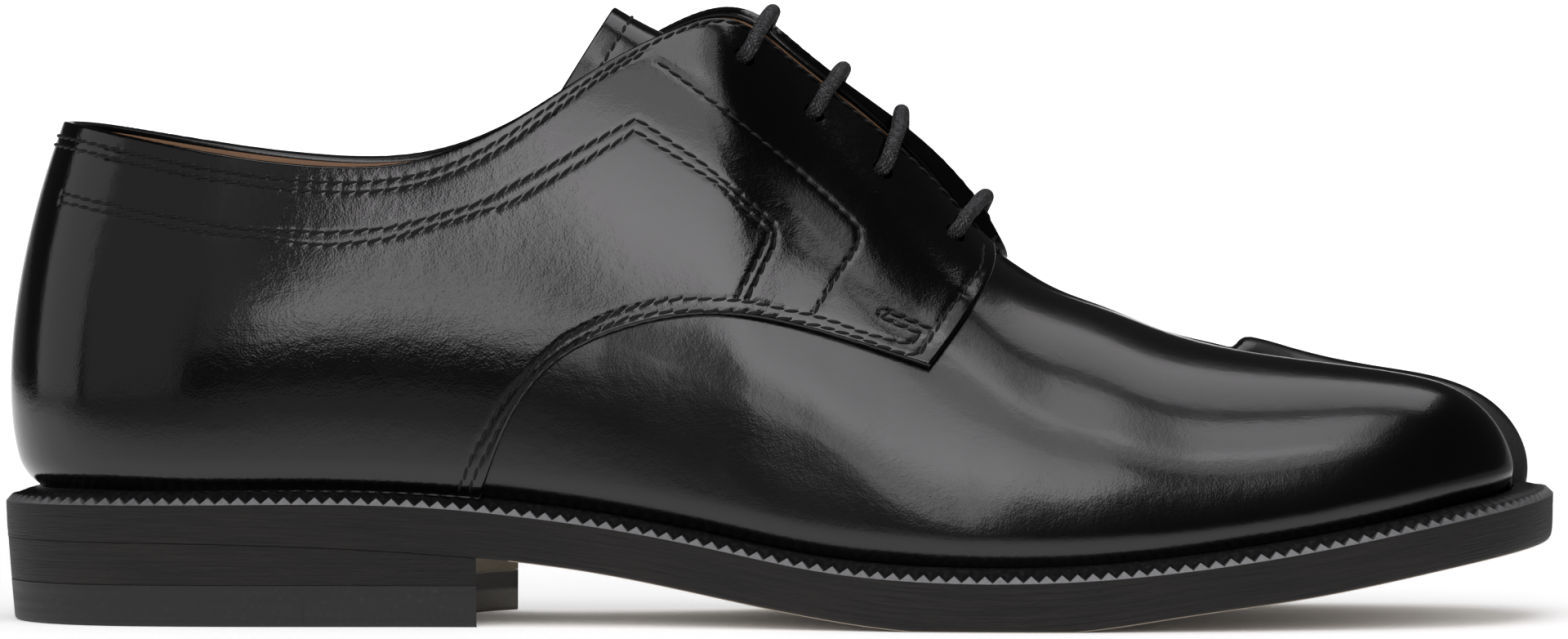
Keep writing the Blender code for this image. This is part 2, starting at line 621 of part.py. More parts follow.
def loft(name, rings, collection, finish):
    """A solid through rings of points, lowest first, that run clockwise seen from above."""
    bm = bmesh.new()
    levels = [add_points(bm, level) for level in rings]
    count = len(levels[0])
    for low, high in zip(levels[:-1], levels[1:]):
        for k in range(count):
            after = (k + 1) % count
            add_face(bm, [low[k], low[after], high[after], high[k]])
    cap_closed(bm, levels[0], flip=True)
    cap_closed(bm, levels[-1], flip=False)
    bmesh.ops.recalc_face_normals(bm, faces=bm.faces)
    return new_object(name, finish_mesh(bm, name), collection, finish)


def outsole_top(x):
    return welt_top(x) - WELT_THICKNESS - MEET_GAP


def make_outsole(collection, finish):
    shares = outline_shares()
    rings = [ring(shares, inset, lambda x, up=up: sole_low(x) + up) for inset, up in OUTSOLE_EDGE]
    rings.append(ring(shares, OUTSOLE_TOP_INSET, outsole_top))
    return loft("outsole", rings, collection, finish)


def make_welt(collection, finish):
    """A ring with a bevelled upper edge, where the welt is notched."""
    shares = outline_shares()
    profile = (ring(shares, 0.0, lambda x: outsole_top(x) + MEET_GAP),
               ring(shares, 0.0, lambda x: welt_top(x) - WELT_BEVEL_HEIGHT),
               ring(shares, WELT_BEVEL_WIDTH, welt_top),
               ring(shares, WELT_WIDTH, welt_top),
               ring(shares, WELT_WIDTH, lambda x: outsole_top(x) + MEET_GAP))
    bm = bmesh.new()
    levels = [add_points(bm, level) for level in profile]
    count = len(shares)
    for low, high in zip(levels, levels[1:] + levels[:1]):
        for k in range(count):
            after = (k + 1) % count
            add_face(bm, [low[k], low[after], high[after], high[k]])
    bmesh.ops.recalc_face_normals(bm, faces=bm.faces)
    return new_object("welt", finish_mesh(bm, "welt"), collection, finish)


def insole_inset(shares):
    """The insole stands further in at the toe, where the upper's wall leans in."""
    x = OUTLINE_AT(shares)[:, 0]
    toe = np.clip((x - INSOLE_TOE_START) / (0.5 * DRAWN_SIZE[0] - INSOLE_TOE_START), 0.0, 1.0)
    return WELT_WIDTH + INSOLE_CLEARANCE + INSOLE_TOE_INSET * toe


def make_prism(name, outline, low, high, collection):
    """An upright prism on a flat outline, as a cutter."""
    bm = bmesh.new()
    base = add_points(bm, [(x, y, low) for x, y in outline])
    face = bm.faces.new(list(base))
    grown = bmesh.ops.extrude_face_region(bm, geom=[face])["geom"]
    lift = (0.0, 0.0, (high - low) * STRETCH[2] * MM)
    raised = [item for item in grown if isinstance(item, bmesh.types.BMVert)]
    bmesh.ops.translate(bm, vec=lift, verts=raised)
    bmesh.ops.recalc_face_normals(bm, faces=bm.faces)
    mesh = bpy.data.meshes.new(name)
    bm.to_mesh(mesh)
    bm.free()
    prism = new_object(name, mesh, collection)
    prism.hide_render = True
    prism.display_type = "WIRE"
    return prism


def make_insole(collection, finish, cutters):
    """A board inside the welt ring, slotted where the toe cleft comes down."""
    shares = outline_shares()
    inset = insole_inset(shares)
    rings = (ring(shares, inset, lambda x: outsole_top(x) + MEET_GAP),
             ring(shares, inset, lambda x: welt_top(x) + INSOLE_STAND))
    thing = loft("insole", rings, collection, finish)
    cut(thing, [make_prism("insole_slot", INSOLE_SLOT, 0.0, SLOT_HEIGHT, cutters)])
    return thing


def heel_shares():
    """Shares round the heel, from the outer breast corner back to the inner one."""
    shares = np.linspace(0.0, 0.4, 2001)
    outer = float(np.interp(BREAST_LATERAL, OUTLINE_AT(shares)[:, 0], shares))
    shares = np.linspace(1.0, 0.6, 2001)
    inner = float(np.interp(BREAST_MEDIAL, OUTLINE_AT(shares)[:, 0], shares))
    return np.linspace(outer, inner - 1.0, HEEL_STATIONS)


def breast_points(inner, outer):
    """The hollow front of the heel, between its inner and its outer corner."""
    way = np.linspace(0.0, 1.0, BREAST_STATIONS + 2)[1:-1]
    line = inner + (outer - inner) * way[:, None]
    line[:, 0] -= BREAST_HOLLOW * (1.0 - (2.0 * way - 1.0) ** 4)
    return line


def heel_ring(inset, height):
    """The sides and back of the heel, then its front, at one level."""
    shares = heel_shares() % 1.0
    flat = outline_points(shares, inset)
    flat = np.vstack((flat, breast_points(flat[-1], flat[0])))
    return points(flat[:, 0], flat[:, 1], height(flat[:, 0]))


def heel_loft(name, rings, collection, finish):
    bm = bmesh.new()
    levels = [add_points(bm, level) for level in rings]
    count = len(levels[0])
    for low, high in zip(levels[:-1], levels[1:]):
        for k in range(count):
            after = (k + 1) % count
            add_face(bm, [low[k], low[after], high[after], high[k]])
    last = HEEL_STATIONS - 1
    for level in (levels[0], levels[-1]):
        for k in range(BREAST_STRIPS, HEEL_STATIONS // 2):
            add_face(bm, [level[k], level[k + 1], level[last - k - 1], level[last - k]])
        rim = [*level[:BREAST_STRIPS + 1], *level[last - BREAST_STRIPS:]]
        front = bm.faces.new(rim)
        bmesh.ops.triangulate(bm, faces=[front])
    bmesh.ops.recalc_face_normals(bm, faces=bm.faces)
    return new_object(name, finish_mesh(bm, name), collection, finish)


def level(height):
    """A height that is the same at every x."""
    return lambda x: np.full_like(x, height)


def make_heel(collection, stack_finish, lift_finish):
    inset_between = 0.5 * (HEEL_INSET_TOP + HEEL_INSET_FLOOR)
    stack_rings = (heel_ring(inset_between, level(TOP_LIFT_HEIGHT + MEET_GAP)),
                   heel_ring(HEEL_INSET_TOP, lambda x: sole_low(x) - MEET_GAP))
    lift_rings = (heel_ring(HEEL_INSET_FLOOR + HEEL_BEVEL, level(0.0)),
                  heel_ring(HEEL_INSET_FLOOR, level(HEEL_BEVEL)),
                  heel_ring(inset_between, level(TOP_LIFT_HEIGHT)))
    return [heel_loft("heel_stack", stack_rings, collection, stack_finish),
            heel_loft("top_lift", lift_rings, collection, lift_finish)]


def lace_route(number):
    """Out of the outer eyelet, over both facing edges, and into the inner eyelet."""
    over = OVERLAY_GAP + QUARTER_WALL + MEET_GAP + 0.5 * LACE_DIAMETER
    halves = []
    for side in (LATERAL, MEDIAL):
        along, share = eyelet(side, number)
        halves.append([lifted(outer_skin, side, along + LACE_LEAN * way,
                              share + (1.0 - share) * way, over + lift) for way, lift in LACE_WAY])
    middle = 0.5 * (halves[0][-1] + halves[1][-1]) + np.array((0.0, 0.0, LACE_CROWN))
    return np.array(halves[0] + [middle] + halves[1][::-1])


def make_lace_bar(number, collection, finish):
    route = lace_route(number)
    run = np.concatenate(([0.0], np.cumsum(np.linalg.norm(np.diff(route, axis=0), axis=1))))
    path = spline(run, route)(np.linspace(0.0, run[-1], LACE_SECTIONS))
    curve = bpy.data.curves.new("lace_path", "CURVE")
    curve.dimensions = "3D"
    curve.bevel_depth = 0.5 * LACE_DIAMETER * MM
    curve.bevel_resolution = 2
    curve.use_fill_caps = True
    line = curve.splines.new("POLY")
    line.points.add(len(path) - 1)
    for point, place in zip(line.points, path * STRETCH * MM):
        point.co = (*place, 1.0)
    return new_object(f"lace_bar_{number + 1}", curve, collection, finish)


def main():
    clear_scene()
    scene = bpy.context.scene
    parts = bpy.data.collections.new("tabi_derby")
    cutters = bpy.data.collections.new("cutters")
    scene.collection.children.link(parts)
    scene.collection.children.link(cutters)
    black = leather("black_leather", BLACK_LEATHER)
    edge = leather("black_sole_edge", BLACK_EDGE)
    tan = leather("tan_leather", TAN_LEATHER)
    rubber = leather("black_rubber", BLACK_RUBBER)
    cord = leather("black_cord", BLACK_CORD)

    holes = make_eyelet_cutters(cutters)
    upper = make_upper(parts, black)
    cut(upper, holes[LATERAL] + holes[MEDIAL])
    made = [upper]
    for name, side in (("quarter_lateral", LATERAL), ("quarter_medial", MEDIAL)):
        quarter = make_quarter(name, side, parts, black)
        cut(quarter, holes[side])
        made.append(quarter)
    made.append(make_tongue(parts, black))
    made.append(make_insole(parts, tan, cutters))
    made.append(make_welt(parts, edge))
    made.append(make_outsole(parts, edge))
    made += make_heel(parts, edge, rubber)
    made += [make_lace_bar(number, parts, cord) for number in range(len(EYELETS))]

    shoe = bpy.data.objects.new("tabi_derby", None)
    parts.objects.link(shoe)
    for thing in made:
        thing.parent = shoe


main()
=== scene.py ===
"""Looks of the tabi derby: leather skins, lining, stitches, laces, notched welt and edge finish.

Sizes and tables are in millimetres, in the same drawn frame as the part: +X is the toe, +Y the
inner side of the foot, +Z up. STRETCH and MM turn them into the part's metres.
"""

import math
from contextlib import contextmanager

import bmesh
import bpy
import numpy as np
from mathutils import Matrix, Vector
from mathutils.kdtree import KDTree


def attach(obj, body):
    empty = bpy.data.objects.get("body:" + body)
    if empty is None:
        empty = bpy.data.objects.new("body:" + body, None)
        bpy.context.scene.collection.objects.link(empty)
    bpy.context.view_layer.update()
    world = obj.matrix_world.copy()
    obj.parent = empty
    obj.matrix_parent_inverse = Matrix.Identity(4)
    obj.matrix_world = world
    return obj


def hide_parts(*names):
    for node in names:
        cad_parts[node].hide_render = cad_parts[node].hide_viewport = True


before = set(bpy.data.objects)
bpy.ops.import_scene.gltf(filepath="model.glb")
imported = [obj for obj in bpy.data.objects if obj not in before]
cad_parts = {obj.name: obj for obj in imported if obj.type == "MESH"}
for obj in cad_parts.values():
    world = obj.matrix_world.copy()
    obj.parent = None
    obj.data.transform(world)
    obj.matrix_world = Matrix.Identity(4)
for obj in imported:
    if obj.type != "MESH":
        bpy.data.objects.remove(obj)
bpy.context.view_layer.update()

MM = 0.001
BODY = "root"

# Driving sizes, as in the part
SHOE_LENGTH = 300.0
BALL_WIDTH = 104.0
FACING_HEIGHT = 118.4
DRAWN_SIZE = np.array((300.0, 104.0, 121.0))
STRETCH = np.array((SHOE_LENGTH, BALL_WIDTH, FACING_HEIGHT)) / DRAWN_SIZE

QUARTER_WALL = 1.4
TONGUE_WALL = 2.0
WELT_THICKNESS = 3.2
WELT_WIDTH = 7.6
TOP_LIFT_HEIGHT = 8.1
LACE_DIAMETER = 2.6
MEET_GAP = 0.3
OVERLAY_GAP = 0.5
TUCK_DEPTH = 2.4
TUCK_HEIGHT = 7.5

LATERAL = -1
MEDIAL = 1

# The upper's sections, a row for each, from the heel back to the tip of each toe lobe.
# along: distance along the shoe that names the section; foot: where the section stands on the
# welt; top: its upper end, at the collar, the facing edge or the crest; belly and rise: the lower
# handle's reach outwards and up; shoulder and drop: the upper handle's reach outwards and down;
# turn: which way outwards is at the foot, from -90 (heel back) through 0 (side) to 90 (toe tip)
SECTION_COLUMNS = ("along", "foot_x", "foot_out", "top_x", "top_out", "top_z",
                   "belly", "rise", "shoulder", "drop", "turn")
LATERAL_SECTIONS = (
    (0.0, -142.4, 0.0, -137.0, 0.0, 97.6, 9.4, 14.0, 9.0, 24.0, -90.0),
    (20.0, -136.8, 17.4, -132.4, 12.4, 96.6, 8.0, 14.5, 8.5, 24.0, -52.0),
    (41.0, -120.0, 27.0, -118.0, 21.4, 93.4, 5.2, 16.0, 7.5, 24.0, -14.0),
    (66.0, -96.0, 29.4, -95.0, 25.8, 89.6, 4.0, 17.0, 6.5, 24.0, -1.0),
    (91.0, -71.0, 30.0, -71.0, 26.4, 89.8, 3.6, 18.0, 6.5, 25.0, 0.0),
    (115.0, -47.0, 31.6, -50.0, 24.4, 98.5, 3.8, 20.0, 8.5, 27.0, 0.0),
    (136.0, -27.0, 34.8, -31.0, 18.4, 110.4, 3.8, 24.0, 13.0, 24.0, 0.0),
    (148.0, -15.0, 37.2, -19.5, 12.6, 115.7, 3.6, 27.0, 16.5, 20.0, 0.0),
    (156.0, -7.0, 39.0, -12.0, 8.4, 117.3, 3.5, 28.0, 19.0, 18.0, 0.0),
    (163.0, 0.0, 40.4, -6.0, 5.6, 115.0, 3.4, 28.0, 20.0, 17.0, 0.0),
    (171.0, 8.0, 41.9, 1.5, 4.4, 109.0, 3.2, 28.0, 20.5, 16.5, 0.0),
    (183.0, 20.0, 44.0, 14.0, 4.2, 98.8, 3.0, 27.0, 21.0, 15.5, 0.0),
    (195.0, 32.0, 45.8, 28.0, 4.0, 86.0, 2.8, 26.0, 21.5, 13.0, 0.0),
    (207.0, 43.0, 46.9, 41.0, 3.8, 71.6, 2.6, 25.0, 24.5, 6.5, 0.0),
    (216.0, 52.0, 47.3, 51.0, 3.6, 65.2, 2.5, 24.5, 23.5, 4.0, 0.0),
    (226.0, 62.0, 47.2, 62.0, 3.2, 61.2, 2.5, 24.0, 22.5, 2.5, 0.0),
    (240.0, 76.0, 46.0, 76.0, 3.0, 56.0, 2.4, 21.0, 21.0, 1.0, 0.0),
    (252.0, 88.0, 44.1, 88.0, 5.5, 53.1, 2.4, 19.0, 19.0, 0.5, 3.0),
    (268.0, 105.0, 40.9, 105.0, 10.5, 50.7, 2.3, 15.5, 16.5, 0.3, 14.0),
    (283.0, 119.5, 35.6, 119.5, 13.0, 48.6, 2.3, 13.0, 13.5, 0.2, 27.0),
    (294.0, 129.0, 29.0, 129.5, 12.5, 45.5, 2.3, 10.5, 10.5, 0.0, 40.0),
    (302.0, 135.4, 22.2, 136.0, 11.0, 40.4, 2.2, 8.0, 7.0, 0.0, 54.0),
    (308.0, 138.6, 16.4, 139.4, 9.4, 35.0, 1.9, 5.5, 4.2, 0.0, 68.0),
    (313.5, 140.0, 11.4, 140.7, 8.2, 29.6, 1.2, 2.8, 2.0, 0.0, 80.0),
    (318.5, 140.4, 7.6, 140.4, 7.6, 24.7, 0.0, 0.0, 0.0, 0.0, 90.0),
)
MEDIAL_SECTIONS = (
    (0.0, -142.4, 0.0, -137.0, 0.0, 97.6, 9.4, 14.0, 9.0, 24.0, -90.0),
    (20.0, -136.8, 17.4, -132.4, 12.4, 97.4, 8.0, 14.5, 8.5, 24.0, -52.0),
    (41.0, -120.0, 27.0, -118.0, 21.4, 95.0, 5.2, 16.0, 7.5, 24.0, -14.0),
    (66.0, -96.0, 28.2, -95.0, 25.8, 91.7, 4.2, 17.0, 6.5, 24.0, 0.0),
    (91.0, -71.0, 27.2, -71.0, 26.6, 91.7, 5.0, 18.0, 6.0, 25.0, 0.0),
    (115.0, -47.0, 26.8, -50.0, 25.2, 99.7, 6.5, 20.0, 7.5, 27.0, 0.0),
    (136.0, -27.0, 27.8, -31.0, 20.2, 111.7, 7.5, 24.0, 11.0, 24.0, 0.0),
    (148.0, -15.0, 29.0, -19.5, 15.0, 117.9, 8.0, 27.0, 14.0, 20.0, 0.0),
    (156.0, -7.0, 30.4, -11.5, 11.2, 120.0, 8.0, 28.0, 16.0, 18.0, 0.0),
    (163.0, 0.0, 31.9, -5.0, 8.6, 118.2, 7.5, 28.0, 17.5, 17.0, 0.0),
    (171.0, 8.0, 33.9, 2.5, 7.4, 112.2, 7.0, 28.0, 18.0, 16.0, 0.0),
    (183.0, 20.0, 37.6, 15.0, 7.2, 102.0, 6.0, 27.0, 19.0, 15.0, 0.0),
    (195.0, 32.0, 41.3, 29.0, 7.0, 88.6, 5.0, 26.0, 20.0, 12.0, 0.0),
    (207.0, 43.0, 44.2, 41.5, 6.8, 73.0, 4.0, 25.0, 21.0, 8.0, 0.0),
    (216.0, 52.0, 45.6, 52.0, 8.2, 65.7, 3.5, 24.0, 21.0, 4.5, 0.0),
    (226.0, 62.0, 46.4, 62.0, 10.5, 61.5, 3.2, 23.0, 20.0, 2.0, 0.0),
    (240.0, 76.0, 46.6, 76.0, 14.8, 56.4, 2.8, 20.0, 17.5, 0.8, 0.0),
    (252.0, 88.0, 46.3, 89.0, 19.2, 54.9, 2.5, 18.0, 15.0, 0.5, 2.0),
    (268.0, 105.0, 44.8, 105.0, 24.0, 51.4, 2.4, 15.5, 12.5, 0.3, 6.0),
    (283.0, 120.5, 41.8, 120.5, 25.8, 48.6, 2.3, 13.0, 10.8, 0.2, 13.0),
    (294.0, 132.0, 37.6, 132.0, 25.6, 46.0, 2.3, 10.5, 8.6, 0.0, 28.0),
    (302.0, 139.8, 32.4, 140.0, 24.8, 41.6, 2.2, 8.0, 5.8, 0.0, 46.0),
    (308.0, 143.8, 28.2, 144.4, 23.8, 36.2, 1.9, 5.5, 3.6, 0.0, 64.0),
    (313.5, 145.5, 24.8, 146.2, 22.8, 30.6, 1.2, 2.8, 1.6, 0.0, 80.0),
    (318.5, 146.0, 22.2, 146.0, 22.2, 25.7, 0.0, 0.0, 0.0, 0.0, 90.0),
)

# The line between the two sides: over the vamp it is the ridge, then it falls into the cleft,
# and past the split each lobe has its own inner foot on the welt.
# Columns: along, x, y, z, belly, climb, turn
VALLEY = (
    (207.0, 42.0, 1.6, 72.2, -3.0, 0.0, 0.0),
    (216.0, 51.8, 2.8, 65.8, -3.2, 0.0, 0.0),
    (226.0, 62.0, 4.4, 61.7, -3.4, 0.0, 0.0),
    (240.0, 76.0, 7.6, 56.0, -3.4, 0.0, 0.0),
    (247.0, 83.0, 9.4, 53.9, -3.0, 0.2, 0.0),
    (252.0, 88.0, 10.5, 51.4, -2.2, 1.0, 0.0),
    (256.0, 92.0, 11.0, 45.0, -0.9, 5.0, 0.0),
    (261.0, 97.5, 11.3, 36.0, -0.6, 9.0, 0.0),
    (268.0, 105.0, 11.4, 30.0, -0.5, 11.0, 0.0),
    (276.0, 113.0, 11.4, 26.0, -0.5, 12.0, 0.0),
    (283.0, 120.0, 11.4, 23.4, -0.5, 12.0, 0.0),
    (289.0, 126.0, 11.4, 22.0, -0.3, 11.0, 0.0),
)
LATERAL_MOUTH = (
    (294.0, 130.2, 10.5, 22.8, 0.4, 9.0, 20.0),
    (302.0, 135.8, 6.4, 23.8, 1.2, 7.0, 42.0),
    (308.0, 138.6, 1.2, 24.3, 1.4, 4.8, 62.0),
    (313.5, 140.0, -3.8, 24.6, 1.0, 2.6, 76.0),
    (318.5, 140.4, -7.6, 24.7, 0.0, 0.0, 90.0),
)
MEDIAL_MOUTH = (
    (294.0, 131.6, 12.3, 22.9, 0.3, 9.0, 14.0),
    (302.0, 139.8, 14.6, 24.5, 1.0, 7.0, 34.0),
    (308.0, 143.8, 17.2, 25.2, 1.2, 4.8, 56.0),
    (313.5, 145.5, 19.8, 25.6, 0.8, 2.6, 76.0),
    (318.5, 146.0, 22.2, 25.7, 0.0, 0.0, 90.0),
)
THROAT_ALONG = 207.0
SPLIT_ALONG = 289.0
TIP_ALONG = 318.5
CREST_REACH = 0.55
# The small step over which a surface's slope is taken
SLOPE_STEP = 1e-3
# How finely sections, edges, surfaces and lines are sampled, as counts and as steps
SECTION_SAMPLES = 101
EDGE_SAMPLES = 401
QUARTER_SAMPLES = (241, 41)
SEEN_SAMPLES = (361, 181)
OUTLINE_SAMPLES = 4001
HEEL_SAMPLES = 2001
SEARCH_ROUNDS = 20
SEEN_STEP = 1.0
BORDER_STEP = 0.15
STITCH_STEP = 0.2
GROOVE_STEP = 0.3
CREASE_STEP = 0.5

# The sole seen from the side: its lower face and the top of the welt. Columns: x, low, top
SOLE_LINES = (
    (-150.0, 16.4, 24.8),
    (-105.0, 16.0, 25.1),
    (-62.0, 13.8, 24.2),
    (-48.0, 12.4, 22.7),
    (-34.0, 10.4, 20.8),
    (-12.0, 6.0, 16.7),
    (5.0, 2.6, 13.2),
    (20.0, 0.4, 11.4),
    (40.0, -0.6, 10.7),
    (58.0, 0.3, 11.3),
    (75.0, 2.8, 12.9),
    (100.0, 6.4, 16.6),
    (125.0, 11.2, 21.4),
    (150.0, 15.8, 26.0),
)

# The sole seen from below, from the heel back along the outer side to the toe and back
# Columns: x, y
OUTLINE = (
    (-150.0, 0.0), (-145.6, -16.5), (-133.5, -28.4), (-115.0, -33.2), (-90.0, -34.2),
    (-60.0, -34.8), (-30.0, -38.4), (0.0, -45.0), (28.0, -50.4), (52.0, -52.0),
    (78.0, -50.8), (104.0, -46.2), (125.0, -38.0), (139.3, -26.0), (147.4, -9.0),
    (150.0, 9.0), (148.8, 24.0), (141.4, 36.8), (124.5, 45.8), (101.0, 50.6),
    (78.0, 52.0), (52.0, 50.6), (28.0, 45.2), (0.0, 36.0), (-30.0, 31.4),
    (-60.0, 31.4), (-90.0, 32.8), (-115.0, 32.8), (-133.5, 28.4), (-145.6, 16.5),
)
BREAST_LATERAL = -58.0
BREAST_MEDIAL = -52.0
BREAST_HOLLOW = 8.0
BREAST_POWER = 4
HEEL_INSET_TOP = 0.4
HEEL_INSET_FLOOR = 1.6
LIFT_INSERT_X = -90.8

# The quarter's lower edge on the outer side, seen from the side, from the welt to the facing tip
# Columns: x, z
QUARTER_EDGE = (
    (-58.2, 22.0), (-53.1, 36.9), (-47.6, 46.6), (-37.5, 54.8), (-27.4, 58.5),
    (-14.0, 60.5), (4.1, 57.7), (28.4, 49.8),
)
QUARTER_FOOT_SHARE = 0.012
QUARTER_LOW_END = 192.6
QUARTER_TOP_END = {LATERAL: 206.0, MEDIAL: 208.4}
QUARTER_FRONT_BOW = 4.2
FRONT_BOW_POWER = 6
QUARTER_BACK_GAP = 0.25
# How far the inner facing stands off the tongue towards its front corner, and how far that is rounded
FACING_STAND = 2.1
FACING_CORNER = 2.6
# Where that begins and is full, as shares of the way forward and up, and what the corner loses of it
STAND_FORWARD = (0.85, 0.98)
STAND_UP = (0.45, 1.0)
STAND_CORNER = (0.965, 1.0)
STAND_CORNER_LOSS = 0.75
# Where the rounding begins and is full on the way up, and how fast it grows on the way forward
ROUND_UP = (0.84, 1.0)
ROUND_POWER = 14

# Eyelets. Columns: the section each stands on, how far inside the facing edge
EYELETS = ((160.4, 9.0), (174.6, 10.6), (186.6, 12.0), (198.6, 12.0))
MEDIAL_EYELET_SHIFT = 1.7

# The lace from an eyelet to the facing edge, leaning forward by its LACE_LEANS on the way
# Columns: share of the way, lift from where it lies on the quarter
LACE_WAY = ((0.07, -4.1), (0.07, -2.3), (0.13, -0.4), (0.34, 0.15), (0.65, 0.15), (1.0, 0.0))
LACE_LEANS = {LATERAL: (2.9, 2.9, 1.7, 2.2), MEDIAL: (2.2, 2.2, -0.4, 1.0)}
LACE_CROWN = 0.5

# The tongue's middle line and its half width and fall to the edge, a row for each section
# Columns: x, y, z, half_width, fall, roll
TONGUE = (
    (-32.5, 2.0, 120.8, 16.5, 15.0, 0.00),
    (-23.0, 2.0, 115.6, 17.0, 13.0, 0.00),
    (-12.0, 2.0, 111.2, 17.5, 12.5, 0.02),
    (0.0, 1.8, 105.4, 18.0, 12.8, 0.05),
    (14.0, 1.6, 95.6, 18.5, 12.8, 0.06),
    (28.0, 1.6, 83.2, 19.0, 11.0, 0.06),
    (41.0, 1.6, 69.4, 19.0, 7.5, 0.05),
    (50.0, 2.4, 63.5, 17.0, 4.5, 0.02),
)
TONGUE_BEND = 2.2

# The camera: how far in front of the shoe's middle plane, how high, where it looks, and its lens
CAMERA_DISTANCE = 1600.0
CAMERA_HEIGHT = 90.0
CAMERA_X = 0.4
CAMERA_AIM_HEIGHT = 57.7
SENSOR_WIDTH = 36.0
LENS = 189.9

# Places read from the side are in seen millimetres: the photo's own scale, with X from the
# middle of the shoe and Z up from the floor under the near side. Centres and width are in pixels
PHOTO_WIDTH = 1920.0
SEEN_SCALE = 6.31
SEEN_CENTRE = (954.5, 771.0)
FRAME_SCALE = LENS / SENSOR_WIDTH * PHOTO_WIDTH
FRAME_CENTRE = (957.3, 186.3)


def spline(knots, rows):
    """A natural cubic spline through a table's rows, as a function of the knot."""
    knots = np.asarray(knots, float)
    rows = np.asarray(rows, float)
    step = np.diff(knots)
    slope = np.diff(rows, axis=0) / step[:, None]
    last = len(knots) - 1
    system = np.eye(last + 1)
    right = np.zeros_like(rows)
    for k in range(1, last):
        system[k, k - 1] = step[k - 1]
        system[k, k] = 2.0 * (step[k - 1] + step[k])
        system[k, k + 1] = step[k]
        right[k] = 6.0 * (slope[k] - slope[k - 1])
    bend = np.linalg.solve(system, right)

    def at(place):
        place = np.clip(np.asarray(place, float), knots[0], knots[-1])
        k = np.clip(np.searchsorted(knots, place, side="right") - 1, 0, last - 1)
        width = step[k][..., None]
        after = (place - knots[k])[..., None] / width
        before = 1.0 - after
        curve = (before ** 3 - before) * bend[k] + (after ** 3 - after) * bend[k + 1]
        return before * rows[k] + after * rows[k + 1] + curve * width ** 2 / 6.0

    return at


def table_spline(table):
    """A spline through a table whose first column is the knot."""
    rows = np.array(table)
    return spline(rows[:, 0], rows[:, 1:])


def section_spline(table):
    """The section table as a spline that runs on past the heel back as its own mirror image."""
    rows = np.array(table)
    beyond = rows[2:0:-1].copy()
    for name in ("along", "foot_out", "top_out"):
        beyond[:, SECTION_COLUMNS.index(name)] *= -1.0
    turn = SECTION_COLUMNS.index("turn")
    beyond[:, turn] = -180.0 - beyond[:, turn]
    return table_spline(np.vstack((beyond, rows)))


SECTIONS = {LATERAL: section_spline(LATERAL_SECTIONS), MEDIAL: section_spline(MEDIAL_SECTIONS)}
VALLEYS = {LATERAL: table_spline(VALLEY + LATERAL_MOUTH), MEDIAL: table_spline(VALLEY + MEDIAL_MOUTH)}
SOLE_SIDE = table_spline(SOLE_LINES)
QUARTER_LINE = table_spline(QUARTER_EDGE)
TONGUE_LINE = table_spline([(k,) + row for k, row in enumerate(TONGUE)])


def sole_low(x):
    return np.maximum(SOLE_SIDE(x)[..., 0], 0.0)


def welt_top(x):
    return SOLE_SIDE(x)[..., 1]


def outsole_top(x):
    return welt_top(x) - WELT_THICKNESS - MEET_GAP


def bezier(start, handle_a, handle_b, end, share):
    """A place on a curve with two handles, at a share of the way."""
    share = np.asarray(share)[..., None]
    rest = 1.0 - share
    return (rest ** 3 * start + 3.0 * rest ** 2 * share * handle_a
            + 3.0 * rest * share ** 2 * handle_b + share ** 3 * end)


def unit(vectors):
    """Vectors scaled to a length of one."""
    return vectors / np.maximum(np.linalg.norm(vectors, axis=-1, keepdims=True), 1e-9)


def ramp(value, start, full):
    """How far a value is on its way from start to full, held between 0 and 1."""
    return np.clip((value - start) / (full - start), 0.0, 1.0)


def eased(value, start, full):
    """A ramp that starts and ends gently."""
    share = ramp(value, start, full)
    return share * share * (3.0 - 2.0 * share)


def dent(distance, depth, width):
    """How deep a soft dent, or how high a soft bump, is at a distance from its line or middle."""
    return depth * np.exp(-(distance / width) ** 2)


def points(x, y, z):
    """Points from their coordinates, of which some may be the same for all."""
    return np.stack(np.broadcast_arrays(x, y, z), axis=-1).astype(float)


def outer_skin(side, along, share):
    """The upper from its foot on the welt (share 0) to the collar, facing edge or crest (1)."""
    (foot_x, foot_out, top_x, top_out, top_z, belly, rise,
     shoulder, drop, turn) = np.moveaxis(SECTIONS[side](along), -1, 0)
    foot = points(foot_x, side * foot_out, welt_top(foot_x) + MEET_GAP)
    top = points(top_x, side * top_out, top_z)
    angle = np.radians(turn)
    top_angle = np.minimum(angle, 0.0)
    low_handle = foot + points(np.sin(angle) * belly, side * np.cos(angle) * belly, rise)
    high_handle = top + points(np.sin(top_angle) * shoulder, side * np.cos(top_angle) * shoulder, -drop)
    return bezier(foot, low_handle, high_handle, top, share)


def valley_line(side, along):
    """The ridge and cleft line: one for both sides up to the split, then one for each lobe."""
    own = VALLEYS[side](along)
    both = 0.5 * (VALLEYS[LATERAL](along) + VALLEYS[MEDIAL](along))
    joined = (np.asarray(along) <= SPLIT_ALONG)[..., None]
    return np.where(joined, both, own)


def inner_skin(side, along, share):
    """The upper from its crest (share 0) to the ridge line or down the cleft wall (1)."""
    crest = outer_skin(side, along, np.ones_like(np.asarray(along, float)))
    x, y, z, belly, climb, turn = np.moveaxis(valley_line(side, along), -1, 0)
    z = np.maximum(z, welt_top(x) + MEET_GAP)
    valley = points(x, y, z)
    angle = np.radians(turn)
    near = crest + points(0.0, (y - crest[..., 1]) * CREST_REACH, 0.0)
    far = valley + points(np.sin(angle) * belly, -side * np.cos(angle) * belly, climb)
    return bezier(crest, near, far, valley, share)


